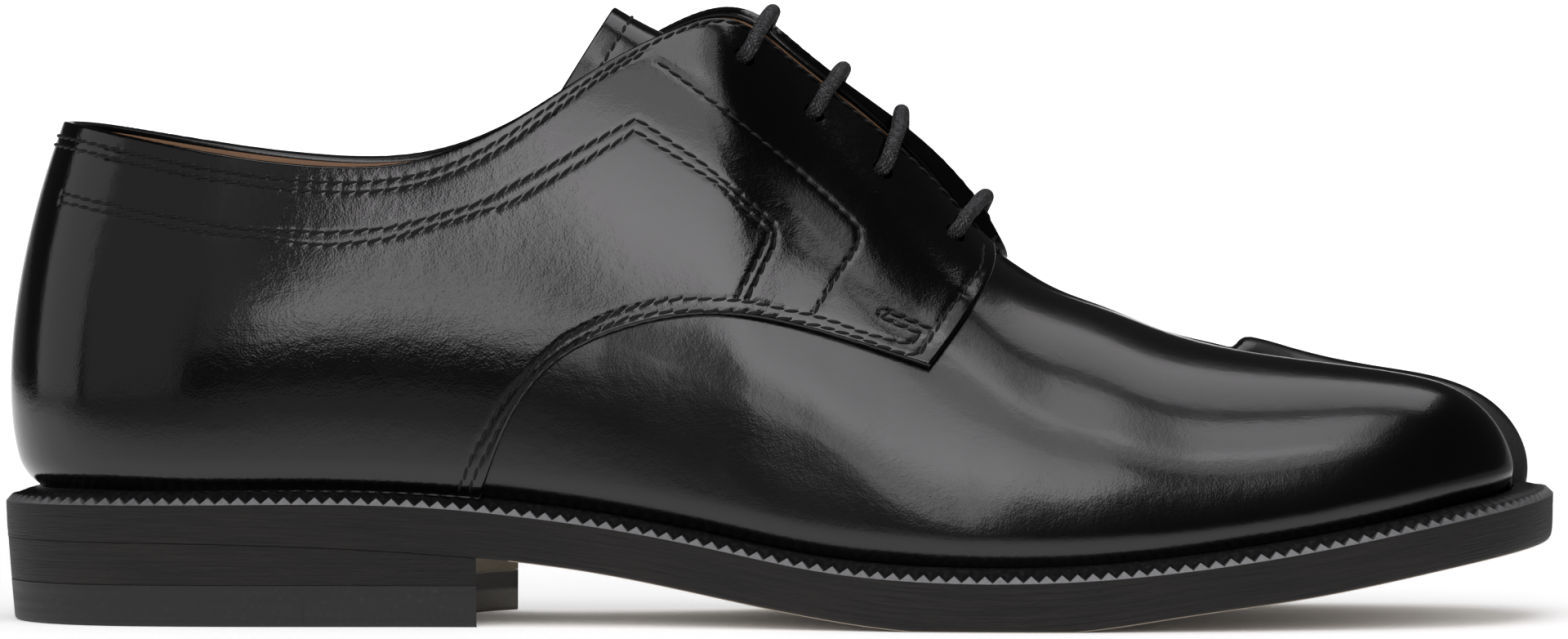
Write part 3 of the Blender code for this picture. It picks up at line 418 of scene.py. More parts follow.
def skin_normal(surface, side, along, share):
    """The skin's outward direction."""
    along = np.asarray(along, float)
    share = np.asarray(share, float)
    ahead = surface(side, along + SLOPE_STEP, share) - surface(side, along - SLOPE_STEP, share)
    upward = surface(side, along, share + SLOPE_STEP) - surface(side, along, share - SLOPE_STEP)
    return unit(np.cross(ahead, upward) * -side)


def tuck(place):
    """How far the leather turns in where it meets the welt."""
    up = place[..., 2] - welt_top(place[..., 0])
    return TUCK_DEPTH * ramp(up, TUCK_HEIGHT, 0.0) ** 2


def lifted(surface, side, along, share, lift):
    """A point on a skin, moved along the skin's outward normal."""
    along = np.asarray(along, float)
    share = np.asarray(share, float)
    normal = skin_normal(surface, side, along, share)
    return surface(side, along, share) + normal * np.asarray(lift)[..., None]


def run_along(path):
    """Distance along a line of points."""
    return np.concatenate(([0.0], np.cumsum(np.linalg.norm(np.diff(path, axis=0), axis=1))))


def steps_along(path, step):
    """How many places about a step apart a line of points takes."""
    return max(2, int(round(run_along(path)[-1] / step)) + 1)


def spaced(path, count, values, start=0.0):
    """Values that belong to a line's points, taken at even distances along the line."""
    run = run_along(path)
    places = np.linspace(start, run[-1] - start, count)
    return np.stack([np.interp(places, run, column) for column in values.T], axis=1)


def resampled(path, step):
    """A line of points, evenly spaced about a step apart."""
    return spaced(path, steps_along(path, step), path)


def share_below_edge(side, along, distance):
    """The share at which a section is a given distance, along itself, below its top."""
    shares = np.linspace(1.0, 0.5, SECTION_SAMPLES)
    line = outer_skin(side, np.full_like(shares, along), shares)
    return float(np.interp(distance, run_along(line), shares))


def share_on_quarter_edge(side, along):
    """The share at which a section meets the quarter's lower edge."""
    shares = np.linspace(0.0, 1.0, EDGE_SAMPLES)
    line = outer_skin(side, np.full_like(shares, along), shares)
    edge = QUARTER_LINE(line[:, 0])[:, 0]
    behind = line[:, 0] < QUARTER_EDGE[0][0]
    over_edge = np.where(behind, 1.0, line[:, 2] - edge)
    if over_edge[0] >= 0.0:
        return QUARTER_FOOT_SHARE
    return max(float(np.interp(0.0, over_edge, shares)), QUARTER_FOOT_SHARE)


def seen(place):
    """Where the camera sees points of the drawn frame, in seen millimetres."""
    real = np.asarray(place) * STRETCH
    scale = FRAME_SCALE / (CAMERA_DISTANCE + real[..., 1])
    px = FRAME_CENTRE[0] + scale * real[..., 0]
    py = FRAME_CENTRE[1] + scale * (CAMERA_HEIGHT - real[..., 2])
    return np.stack(((px - SEEN_CENTRE[0]) / SEEN_SCALE, (SEEN_CENTRE[1] - py) / SEEN_SCALE), axis=-1)


# Meshes

def grid_faces(rows, columns, flip=False, wrap=False, close=False, start=0):
    """Four-sided faces between the points of a grid, wrapped round or closed on itself if asked."""
    index = start + np.arange(rows * columns).reshape(rows, columns)
    if wrap:
        index = np.concatenate((index, index[:, :1]), axis=1)
    if close:
        index = np.concatenate((index, index[:1]), axis=0)
    corners = (index[:-1, :-1], index[1:, :-1], index[1:, 1:], index[:-1, 1:])
    quads = np.stack(corners, axis=-1).reshape(-1, 4)
    return quads[:, ::-1] if flip else quads


def new_object(name, data):
    thing = bpy.data.objects.new(name, data)
    bpy.context.scene.collection.objects.link(thing)
    return thing


@contextmanager
def edited(mesh):
    """A mesh opened for editing, and written back at the end."""
    bm = bmesh.new()
    bm.from_mesh(mesh)
    yield bm
    bm.to_mesh(mesh)
    bm.free()


def mesh_piece(name, verts, faces, material, weld=0.0, **attributes):
    """A piece from points in drawn millimetres and faces, shaded smooth, with values at its points."""
    mesh = bpy.data.meshes.new(name)
    places = np.asarray(verts).reshape(-1, 3) * STRETCH * MM
    mesh.from_pydata(places.tolist(), [], [list(face) for face in faces])
    for attribute, values in attributes.items():
        layer = mesh.attributes.new(attribute, "FLOAT", "POINT")
        layer.data.foreach_set("value", np.asarray(values, np.float32).ravel())
    if weld:
        with edited(mesh) as bm:
            bmesh.ops.remove_doubles(bm, verts=bm.verts, dist=weld * MM)
            bmesh.ops.dissolve_degenerate(bm, edges=bm.edges, dist=1e-7)
    mesh.materials.append(material)
    mesh.shade_smooth()
    return new_object(name, mesh)


def sharp_edges(piece, degrees):
    """Keep edges sharp that turn by more than an angle."""
    piece.data.set_sharp_from_angle(angle=math.radians(degrees))


def dress(piece, slot, *nodes):
    """Say which body carries a piece and which solids it stands for; the slot argument is not used."""
    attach(piece, BODY)
    if nodes:
        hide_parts(*nodes)
    return piece


def tree_of(samples):
    """A search tree of points."""
    tree = KDTree(len(samples))
    for k, sample in enumerate(samples):
        tree.insert(sample, k)
    tree.balance()
    return tree


def nearest_distance(places, samples):
    """Distance of each place to the nearest of a set of sample points."""
    tree = tree_of(samples)
    near = [tree.find(place)[2] for place in places.reshape(-1, 3)]
    return np.reshape(near, places.shape[:-1])


# Materials: texture scales are per metre, bump distances in metres, colours linear

class Nodes:
    """A material's node tree, with short ways to add nodes and links."""

    def __init__(self, name):
        self.material = bpy.data.materials.new(name)
        self.material.use_nodes = True
        self.tree = self.material.node_tree
        self.shader = self.tree.nodes["Principled BSDF"]
        coordinates = self.add("ShaderNodeTexCoord")
        self.place = coordinates.outputs["Object"]

    def add(self, kind, **inputs):
        node = self.tree.nodes.new(kind)
        for name, value in inputs.items():
            self.put(node, name.replace("_", " "), value)
        return node

    def join(self, value, socket):
        """Link a node's output to a socket, or set the socket's own value."""
        if isinstance(value, bpy.types.NodeSocket):
            self.tree.links.new(value, socket)
        else:
            socket.default_value = value

    def put(self, node, name, value):
        self.join(value, node.inputs[name])

    def axis(self, name):
        """The place on the object along X, Y or Z."""
        return self.add("ShaderNodeSeparateXYZ", Vector=self.place).outputs[name]

    def scaled(self, scale):
        """The place on the object, stretched by a scale for each axis."""
        mapping = self.add("ShaderNodeMapping", Vector=self.place, Scale=scale)
        return mapping.outputs["Vector"]

    def noise(self, vector, scale, detail=3.0, roughness=0.5):
        node = self.add("ShaderNodeTexNoise", Vector=vector, Scale=scale, Detail=detail,
                        Roughness=roughness)
        return node.outputs["Fac"]

    def cells(self, vector, scale, feature="F1"):
        node = self.add("ShaderNodeTexVoronoi", Vector=vector, Scale=scale)
        node.feature = feature
        return node.outputs["Distance"]

    def math(self, operation, first, second):
        node = self.tree.nodes.new("ShaderNodeMath")
        node.operation = operation
        for socket, value in zip(node.inputs, (first, second)):
            self.join(value, socket)
        return node.outputs[0]

    def span(self, value, low, high, from_low=0.0, from_high=1.0):
        node = self.add("ShaderNodeMapRange", Value=value)
        self.put(node, "From Min", from_low)
        self.put(node, "From Max", from_high)
        self.put(node, "To Min", low)
        self.put(node, "To Max", high)
        return node.outputs["Result"]

    def colours(self, value, low, high):
        node = self.tree.nodes.new("ShaderNodeMix")
        node.data_type = "RGBA"
        sockets = [socket for socket in node.inputs if socket.type == "RGBA"]
        self.join(value, node.inputs["Factor"])
        for socket, colour in zip(sockets, (low, high)):
            self.join(colour if isinstance(colour, bpy.types.NodeSocket) else (*colour, 1.0), socket)
        return [socket for socket in node.outputs if socket.type == "RGBA"][0]

    def bump(self, height, distance, strength=1.0, before=None):
        node = self.add("ShaderNodeBump", Height=height, Strength=strength, Distance=distance)
        if before is not None:
            self.put(node, "Normal", before)
        return node.outputs["Normal"]

    def attribute(self, name):
        node = self.tree.nodes.new("ShaderNodeAttribute")
        node.attribute_name = name
        return node.outputs["Fac"]

    def finish(self, **values):
        for name, value in values.items():
            self.put(self.shader, name.replace("_", " "), value)
        return self.material


def glossy_leather(name, smooth, dull):
    """Brushed black leather: a polished coat over a fine grain, matte in the cleft."""
    n = Nodes(name)
    grain = n.cells(n.place, 2600.0)
    pores = n.noise(n.place, 1500.0, 2.0)
    waves = n.noise(n.scaled((0.8, 0.8, 1.0)), 95.0, 2.0)
    ripples = n.noise(n.place, 330.0, 2.0)
    brushed = n.noise(n.place, 900.0, 3.0, 0.6)
    matte = n.attribute("matte")
    normal = None
    for height, distance, strength in ((waves, 0.00030, 0.17), (ripples, 0.00010, 0.36),
                                       (brushed, 0.00006, 0.34), (grain, 0.00005, 0.20),
                                       (pores, 0.00008, n.span(matte, 0.06, 1.0))):
        normal = n.bump(height, distance, strength, normal)
    polish = n.span(n.noise(n.place, 60.0, 3.0), smooth, dull)
    rough = n.math("ADD", polish, n.math("MULTIPLY", matte, 0.46))
    black = n.colours(n.noise(n.place, 30.0), (0.0007, 0.0008, 0.0012), (0.0014, 0.0014, 0.0018))
    base = n.colours(n.math("MULTIPLY", matte, n.span(pores, 0.2, 1.0)), black, (0.045, 0.044, 0.043))
    return n.finish(Base_Color=base, Roughness=rough, Normal=normal, Coat_Weight=0.20,
                    Coat_Roughness=0.07, Specular_IOR_Level=0.5)


def lining_leather(name):
    """Plain tan lining with an uneven dye and small pores."""
    n = Nodes(name)
    tone = n.noise(n.place, 140.0, 4.0)
    pores = n.cells(n.place, 1700.0)
    base = n.colours(tone, (0.24, 0.118, 0.055), (0.42, 0.235, 0.12))
    normal = n.bump(pores, 0.0001, 0.3)
    return n.finish(Base_Color=base, Roughness=n.span(tone, 0.52, 0.68), Normal=normal)


def sole_edge_leather(name):
    """Waxed black sole edge with fine layers along the sole and a little brown wear."""
    n = Nodes(name)
    along = n.add("ShaderNodeCombineXYZ", X=n.axis("X"), Y=n.axis("Y"),
                  Z=n.math("MULTIPLY", n.attribute("level"), 40.0))
    layers = n.noise(along.outputs["Vector"], 55.0, 6.0, 0.7)
    scratches = n.noise(along.outputs["Vector"], 160.0, 4.0, 0.65)
    patches = n.span(n.noise(n.place, 45.0), 0.4, 1.0)
    wear_and_highlight = n.math("MULTIPLY", n.span(layers, 0.0, 1.0, 0.35, 0.7), patches)
    base = n.colours(wear_and_highlight, (0.0040, 0.0038, 0.0038), (0.030, 0.026, 0.023))
    normal = n.bump(layers, 0.00040, 0.9)
    normal = n.bump(scratches, 0.00022, 0.9, normal)
    return n.finish(Base_Color=base, Roughness=n.span(layers, 0.40, 0.68), Normal=normal,
                    Specular_IOR_Level=0.36)


def welt_leather(name):
    """The notched welt: like the sole's edge, with a painted highlight on the teeth's upward-leaning
    faces and the top dull.
    """
    n = Nodes(name)
    facet = n.attribute("facet")
    fibre = n.noise(n.place, 1100.0, 4.0, 0.65)
    # Painted highlight: the upward-leaning tooth faces are painted light grey, broken up by the fibre
    tooth_highlight = n.math("MULTIPLY", facet, n.span(fibre, 0.45, 1.0, 0.25, 0.7))
    dark = n.colours(n.span(fibre, 0.0, 1.0, 0.5, 0.75), (0.006, 0.006, 0.006), (0.030, 0.029, 0.028))
    base = n.colours(tooth_highlight, dark, (0.20, 0.20, 0.205))
    normal = n.bump(fibre, 0.0001, 0.4)
    return n.finish(Base_Color=base, Roughness=n.span(fibre, 0.34, 0.55), Normal=normal,
                    Specular_IOR_Level=n.span(facet, 0.3, 0.95))


def lift_rubber(name):
    """The top lift: matte black with faint level marks and specks of wear."""
    n = Nodes(name)
    marks = n.noise(n.scaled((30.0, 30.0, 900.0)), 1.0, 4.0)
    specks = n.noise(n.place, 700.0, 4.0, 0.7)
    wear_and_highlight = n.span(specks, 0.0, 1.0, 0.55, 0.75)
    base = n.colours(wear_and_highlight, (0.0080, 0.0077, 0.0075), (0.026, 0.024, 0.022))
    from_seam = n.math("ABSOLUTE", n.math("SUBTRACT", n.axis("X"), LIFT_INSERT_X * MM), 0.0)
    seam = n.math("MULTIPLY", n.span(from_seam, 1.0, 0.0, 0.00010, 0.00024),
                  n.span(n.axis("Z"), 1.0, 0.0, 0.0038, 0.0042))
    base = n.colours(seam, base, (0.001, 0.001, 0.001))
    normal = n.bump(marks, 0.00012, 0.35)
    return n.finish(Base_Color=base, Roughness=n.span(marks, 0.45, 0.66), Normal=normal)


def raw_leather(name, low, high):
    """Unpolished cut leather: fibrous and dull."""
    n = Nodes(name)
    fibre = n.noise(n.place, 1100.0, 5.0, 0.7)
    base = n.colours(fibre, low, high)
    return n.finish(Base_Color=base, Roughness=n.span(fibre, 0.62, 0.85),
                    Normal=n.bump(fibre, 0.0003, 0.6))


def heel_front(name):
    """The heel's unpolished front: brown leather lifts over a dark layer and a greyer lowest one."""
    n = Nodes(name)
    fibre = n.noise(n.scaled((1.0, 1.0, 3.0)), 900.0, 5.0, 0.7)
    height = n.axis("Z")
    brown = n.colours(fibre, (0.14, 0.118, 0.086), (0.32, 0.28, 0.21))
    grey = n.colours(fibre, (0.07, 0.067, 0.062), (0.17, 0.163, 0.15))
    dark = n.colours(fibre, (0.012, 0.0115, 0.011), (0.036, 0.034, 0.032))
    lower = n.colours(n.span(height, 0.0, 1.0, 0.0038, 0.0046), grey, dark)
    base = n.colours(n.span(height, 0.0, 1.0, 0.0074, 0.0080), lower, brown)
    return n.finish(Base_Color=base, Roughness=n.span(fibre, 0.55, 0.8),
                    Normal=n.bump(fibre, 0.0003, 0.5))


def thread(name):
    """Waxed black sewing thread, twisted."""
    n = Nodes(name)
    twist = n.noise(n.place, 2400.0, 2.0)
    base = n.colours(twist, (0.004, 0.004, 0.0045), (0.020, 0.020, 0.021))
    return n.finish(Base_Color=base, Roughness=n.span(twist, 0.36, 0.58),
                    Normal=n.bump(twist, 0.0001, 0.45), Specular_IOR_Level=0.22)


def waxed_braid(name):
    """The lace: black waxed cotton, grey where the strands catch the light."""
    n = Nodes(name)
    strand = n.attribute("strand")
    fibre = n.noise(n.place, 2600.0, 3.0)
    flecks = n.span(n.noise(n.place, 1500.0, 2.0), 0.0, 1.0, 0.48, 0.66)
    uneven = n.math("ADD", n.math("MULTIPLY", flecks, 0.7), 0.3)
    # Painted highlight: the strand crests are painted grey, broken by flecks
    wear_and_highlight = n.math("MULTIPLY", n.math("POWER", strand, 2.0), uneven)
    base = n.colours(wear_and_highlight, (0.002, 0.002, 0.0023), (0.20, 0.202, 0.21))
    return n.finish(Base_Color=base, Roughness=n.span(fibre, 0.42, 0.62),
                    Normal=n.bump(fibre, 0.00008, 0.5), Specular_IOR_Level=0.28)


# How fast the lit part of the floor widens with distance, past the toe
PAPER_FLARE = 0.095


def pale_floor(name):
    """A pale floor that glows round the shoe as painted light, turns grey in front and at the sides as a
    painted falloff, and has a painted contact shadow, darkest under the toe.
    """
    n = Nodes(name)
    x, y = n.axis("X"), n.axis("Y")
    in_front = n.span(n.math("MULTIPLY", y, -1.0), 0.0, 1.0, 0.06, 0.30)
    sideways = n.span(n.math("ABSOLUTE", x, 0.0), 0.0, 1.0, 0.5, 1.4)
    flare = n.math("MULTIPLY", y, PAPER_FLARE)
    past_toe = n.span(n.math("SUBTRACT", x, flare), 0.0, 1.0, 0.165, 0.30)
    far = n.math("MAXIMUM", n.math("MAXIMUM", in_front, sideways), past_toe)
    tone = n.span(n.noise(n.place, 260.0, 4.0), 0.97, 1.0)
    # Painted falloff of light: the floor's colour turns grey away from the shoe, in front, at the sides
    # and past the toe
    base = n.colours(far, (0.88, 0.88, 0.88), (0.36, 0.36, 0.36))
    shade = n.add("ShaderNodeVectorMath")
    shade.operation = "SCALE"
    n.tree.links.new(base, shade.inputs[0])
    n.put(shade, "Scale", tone)
    # Painted light: the floor glows round the shoe, and ambient occlusion paints a contact shadow into
    # the glow that gets deeper towards the toe
    open_sky = n.add("ShaderNodeAmbientOcclusion", Distance=0.16)
    open_sky.samples = 8
    deeper = n.span(x, 0.17, 0.58, -0.01, 0.08)
    glow = n.math("MULTIPLY", n.span(far, 0.62, 0.0), n.math("POWER", open_sky.outputs["AO"], deeper))
    return n.finish(Base_Color=shade.outputs["Vector"], Roughness=0.75,
                    Emission_Color=(1.0, 1.0, 1.0, 1.0), Emission_Strength=glow)


# The leathers differ in how rough they are where they are most and least polished
BLACK = glossy_leather("black_leather", 0.10, 0.16)
VAMP_BLACK = glossy_leather("vamp_leather", 0.16, 0.24)
TAN = lining_leather("tan_lining")
EDGE = sole_edge_leather("sole_edge")
WELT = welt_leather("notched_welt")
LIFT = lift_rubber("top_lift_rubber")
RAW_SOLE = raw_leather("sole_underside", (0.25, 0.205, 0.155), (0.37, 0.31, 0.24))
BREAST = heel_front("heel_front")
THREAD = thread("sewing_thread")
CORD = waxed_braid("waxed_lace")


# How a crease fades towards its ends, and how many of its widths it reaches
CREASE_FADE = 0.7
CREASE_REACH = 3.0
# Creases: soft troughs (negative depth) and ridges along lines on the outer side.
# Columns: line of seen places, depth, width
CREASES = (
    (((0.6, 82.6), (3.6, 78.4), (7.2, 72.4)), -0.08, 1.6),
    (((2.6, 84.0), (6.4, 78.6), (10.2, 72.4)), 0.05, 3.0),
    (((12.4, 68.6), (17.8, 64.0), (24.0, 61.4), (30.0, 59.8)), -0.07, 1.9),
    (((14.6, 70.2), (20.4, 66.0), (27.0, 63.4)), 0.05, 2.6),
)


# Quarters

QUARTER_LIFT = OVERLAY_GAP + QUARTER_WALL
QUARTER_FOOT_LIFT = 0.12
QUARTER_COLUMNS = 440
QUARTER_MIDDLE_ROWS = 168
EDGE_ROUND = 0.55
EDGE_STEPS = (0.0, 0.06, 0.2, 0.38, 0.6, 1.0, 1.5, 2.1, 2.8)
QUARTER_SPAN = 185.0
QUARTER_WELD = 0.004


class Quarter:
    """One quarter as a surface: forward runs heel to front edge, up runs lower edge to top."""

    def __init__(self, side):
        self.side = side
        self.knots, ups = (np.linspace(0.0, 1.0, count) for count in QUARTER_SAMPLES)
        low_along = self.low_along(self.knots)
        self.low_shares = np.array([share_on_quarter_edge(side, along) for along in low_along])
        forward, up = np.meshgrid(self.knots, ups, indexing="ij")
        line = self.point(forward, up, 0.0)
        self.lengths = np.linalg.norm(np.diff(line, axis=1), axis=2).sum(axis=1)

    def low_along(self, forward):
        return QUARTER_BACK_GAP + (QUARTER_LOW_END - QUARTER_BACK_GAP) * forward

    def top_along(self, forward):
        return QUARTER_BACK_GAP + (QUARTER_TOP_END[self.side] - QUARTER_BACK_GAP) * forward

    def place(self, forward, up):
        """The section and share of a place on the quarter."""
        low_share = np.interp(forward, self.knots, self.low_shares)
        low = self.low_along(forward)
        bow = QUARTER_FRONT_BOW * 4.0 * up * (1.0 - up) * forward ** FRONT_BOW_POWER
        along = low + (self.top_along(forward) - low) * up + bow
        if self.side == MEDIAL:
            along = along - FACING_CORNER * ramp(up, *ROUND_UP) ** 2 * forward ** ROUND_POWER
        return along, low_share + (1.0 - low_share) * up

    def stand(self, forward, up):
        """How far the inner facing stands off at its upper front."""
        if self.side == LATERAL:
            return np.zeros(np.shape(forward))
        kept = 1.0 - STAND_CORNER_LOSS * ramp(forward, *STAND_CORNER) ** 2
        return FACING_STAND * eased(forward, *STAND_FORWARD) * eased(up, *STAND_UP) * kept

    def where(self, along, share):
        """Forward and up of a share of a section."""
        forward = along / QUARTER_TOP_END[self.side]
        up = 1.0
        for _ in range(SEARCH_ROUNDS):
            low_share = float(np.interp(forward, self.knots, self.low_shares))
            up = (share - low_share) / (1.0 - low_share)
            forward += (along - float(self.place(forward, up)[0])) / QUARTER_TOP_END[self.side]
        return min(forward, 1.0), up

    def point(self, forward, up, lift):
        """A point of the quarter, lifted off the upper."""
        along, share = self.place(np.asarray(forward, float), np.asarray(up, float))
        return lifted(outer_skin, self.side, along, share, np.broadcast_to(lift, np.shape(along)))

    def over(self, along, share, lift):
        """A point at a share of a section, lifted, also by what the facing stands off there."""
        stand = float(self.stand(*self.where(along, share)))
        return lifted(outer_skin, self.side, along, share, lift + stand)

    def normal(self, forward, up):
        along, share = self.place(np.asarray(forward, float), np.asarray(up, float))
        return skin_normal(outer_skin, self.side, along, share)

    def length(self, forward):
        return np.interp(forward, self.knots, self.lengths)


QUARTERS = {LATERAL: Quarter(LATERAL), MEDIAL: Quarter(MEDIAL)}


def seen_grid():
    """The outer quarter as a fine grid of places with what the camera sees there."""
    shares = [np.linspace(0.0, 1.0, count) for count in SEEN_SAMPLES]
    forward, up = np.meshgrid(*shares, indexing="ij")
    view = seen(QUARTERS[LATERAL].point(forward, up, QUARTER_LIFT)).reshape(-1, 2)
    return tree_of([(x, z, 0.0) for x, z in view]), forward.ravel(), up.ravel()


SEEN_TREE, SEEN_FORWARD, SEEN_UP = seen_grid()


# Weights of a place and its neighbours when a line is smoothed
SMOOTHING = (1.0, 2.0, 3.0, 2.0, 1.0)


def on_quarter(line):
    """Forward and up on the outer quarter for a line of seen places."""
    line = resampled(np.array(line, float), SEEN_STEP)
    found = [SEEN_TREE.find((x, z, 0.0))[1] for x, z in line]
    path = np.stack((SEEN_FORWARD[found], SEEN_UP[found]), axis=1)
    padded = np.vstack((np.repeat(path[:1], 2, 0), path, np.repeat(path[-1:], 2, 0)))
    smooth = sum(weight * padded[k:k + len(path)] for k, weight in enumerate(SMOOTHING)) / sum(SMOOTHING)
    smooth[[0, -1]] = path[[0, -1]]
    return smooth


# Stitch rows. The collar rows stand below the top edge by a distance that changes on the way
# forward. Columns: forward, first row, second row
COLLAR_ROWS = (
    (0.000, 3.0, 4.7), (0.300, 3.0, 4.7), (0.480, 2.6, 4.2), (0.600, 2.0, 3.6), (0.690, 1.8, 3.2),
)
COLLAR_ROW_START = 0.004
COLLAR_SAMPLES = 160
FACING_ROW_INSET = 1.4
FACING_ROW_EVEN = 0.76
FACING_ROW_END = 0.985
FACING_SAMPLES = 120
# The sewn shapes on the side, as lines of seen places
SIDE_ROWS = (
    ((-139.2, 84.6), (-125.0, 81.5), (-106.6, 78.0), (-88.2, 77.0), (-75.2, 78.0), (-59.4, 82.4),
     (-43.7, 90.6), (-27.9, 99.2)),
    ((-27.9, 99.2), (-15.3, 91.0), (-1.0, 78.8)),
    ((-1.0, 78.8), (-0.7, 75.0), (-6.3, 64.2)),
    ((-139.7, 83.0), (-114.5, 77.5), (-88.2, 74.6), (-75.2, 76.0), (-51.6, 83.2), (-27.9, 96.8)),
    ((-27.9, 96.8), (-12.1, 86.7), (-1.8, 76.9)),
    ((-1.8, 76.9), (-8.2, 64.2)),
    ((-23.5, 110.3), (-15.3, 104.1), (-5.8, 97.0), (3.6, 89.1), (12.3, 81.1), (15.6, 77.8)),
    ((15.6, 77.8), (15.1, 74.2), (11.6, 69.4), (8.8, 64.8), (6.6, 61.3)),
    ((-62.6, 26.6), (-61.4, 29.6), (-58.9, 35.2), (-56.0, 40.7), (-52.4, 46.0), (-48.4, 50.7),
     (-42.2, 56.6), (-33.4, 61.2), (-24.3, 63.7), (-17.7, 64.3), (-11.0, 64.3), (-4.4, 63.4),
     (0.9, 62.1), (6.3, 61.3), (11.6, 59.4), (17.5, 57.4), (21.8, 56.1), (25.8, 55.5)),
    ((25.8, 55.5), (27.3, 57.7)),
    ((27.3, 57.7), (19.4, 60.5), (18.8, 61.5), (19.6, 62.4), (29.7, 58.5)),
    ((-60.5, 26.4), (-59.5, 29.4), (-57.1, 34.4), (-54.0, 39.9), (-50.6, 45.5), (-46.7, 50.4),
     (-41.3, 54.5), (-35.9, 57.8), (-30.2, 60.4), (-24.0, 61.6), (-16.4, 61.9), (-9.7, 61.9),
     (-4.4, 61.6), (0.9, 60.5), (6.3, 59.3), (10.2, 58.3), (15.0, 56.9), (20.7, 54.7),
     (25.4, 53.2), (27.5, 53.6)),
    ((27.5, 53.6), (29.2, 56.3), (30.8, 59.1), (33.7, 63.1), (38.3, 69.3), (39.6, 72.0), (39.4, 75.0)),
)
STITCH_PITCH = 2.8
STITCH_RADIUS = 0.33
STITCH_SLANT = 0.20
GROOVE_DEPTH = 0.07
GROOVE_WIDTH = 0.65
HOLE_DEPTH = 0.06
HOLE_WIDTH = 0.42
PUCKER_DEPTH = 0.012
PUCKER_WIDTH = 1.25


def row_below_top(quarter, forward, inset):
    """A stitch row at an inset below the quarter's top, as forward and up."""
    return np.stack((forward, 1.0 - inset / quarter.length(forward)), axis=1)


def quarter_rows(quarter):
    """Every stitch row on a quarter, as lines of forward and up."""
    knots, *insets = np.array(COLLAR_ROWS).T
    forward = np.linspace(COLLAR_ROW_START, knots[-1], COLLAR_SAMPLES)
    rows = [row_below_top(quarter, forward, np.interp(forward, knots, inset)) for inset in insets]
    forward = np.linspace(knots[-1], FACING_ROW_END, FACING_SAMPLES)
    inset = np.interp(forward, (knots[-1], FACING_ROW_EVEN), (insets[0][-1], FACING_ROW_INSET))
    rows.append(row_below_top(quarter, forward, inset))
    return rows + [on_quarter(line) for line in SIDE_ROWS]


def fine_row(quarter, row, step):
    """A row with its places evenly spaced, as forward and up."""
    path = quarter.point(*row.T, QUARTER_LIFT)
    return spaced(path, max(2, int(run_along(path)[-1] / step)), row)


def row_stitches(quarter, row, start=0.0):
    """Evenly spaced stitch holes on a row: their places, and the skin's outward direction."""
    fine = fine_row(quarter, row, STITCH_STEP)
    path = quarter.point(*fine.T, QUARTER_LIFT)
    forward, up = spaced(path, steps_along(path, STITCH_PITCH), fine, start).T
    sunk = np.maximum(QUARTER_LIFT - tuck(quarter.point(forward, up, QUARTER_LIFT)), QUARTER_FOOT_LIFT)
    return quarter.point(forward, up, sunk + quarter.stand(forward, up)), quarter.normal(forward, up)


def quarter_grid(quarter):
    """Forward and up of the quarter's mesh, with rows close together at its edges."""
    edge = np.array(EDGE_STEPS)
    near = edge / QUARTER_SPAN
    columns = np.linspace(near[-1], 1.0 - near[-1], QUARTER_COLUMNS)[1:-1]
    forward = np.concatenate((near, columns, 1.0 - near[::-1]))
    length = quarter.length(forward)[:, None]
    middle = np.linspace(0.0, 1.0, QUARTER_MIDDLE_ROWS)[1:-1]
    low = edge[None, :] / length
    high = 1.0 - edge[None, ::-1] / length
    between = low[:, -1:] + (high[:, :1] - low[:, -1:]) * middle[None, :]
    up = np.concatenate((low, between, high), axis=1)
    forward = np.broadcast_to(forward[:, None], up.shape)
    return forward, up


def crease_lift(quarter, places):
    """How far the creases raise or sink the leather at each place."""
    flat = places.reshape(-1, 3)
    lift = np.zeros(len(flat))
    for line, depth, width in CREASES:
        path = on_quarter(line)
        fine = resampled(quarter.point(*path.T, QUARTER_LIFT), CREASE_STEP)
        fade = np.sin(np.linspace(0.0, math.pi, len(fine))) ** CREASE_FADE
        tree = tree_of(fine)
        low = fine.min(axis=0) - CREASE_REACH * width
        high = fine.max(axis=0) + CREASE_REACH * width
        for k in np.flatnonzero(np.all((flat > low) & (flat < high), axis=1)):
            _, index, distance = tree.find(flat[k])
            lift[k] += dent(distance, depth * fade[index], width)
    return lift.reshape(places.shape[:-1])


def quarter_lift(quarter, flat, rows, holes):
    """How high the quarter's skin is: rounded at its edges, sunk at its stitches and creased."""
    borders = (flat[0], flat[-1], flat[:, 0], flat[:, -1])
    border = [resampled(line, BORDER_STEP) for line in borders]
    from_edge = nearest_distance(flat, np.vstack(border))
    lines = [quarter.point(*fine_row(quarter, row, GROOVE_STEP).T, QUARTER_LIFT) for row in rows]
    from_row = nearest_distance(flat, np.vstack(lines))
    from_hole = nearest_distance(flat, np.vstack([places for places, _ in holes]))
    round_off = ramp(from_edge, EDGE_ROUND, 0.0)
    lift = QUARTER_LIFT - EDGE_ROUND * (1.0 - np.sqrt(np.clip(1.0 - round_off ** 2, 0.0, 1.0)))
    lift = lift - dent(from_row, GROOVE_DEPTH, GROOVE_WIDTH)
    lift = lift - dent(from_hole, HOLE_DEPTH, HOLE_WIDTH)
    lift = lift - dent(from_hole, PUCKER_DEPTH, PUCKER_WIDTH)
    if quarter.side == LATERAL:
        lift = lift + crease_lift(quarter, flat)
    return np.maximum(lift - tuck(flat), QUARTER_FOOT_LIFT)


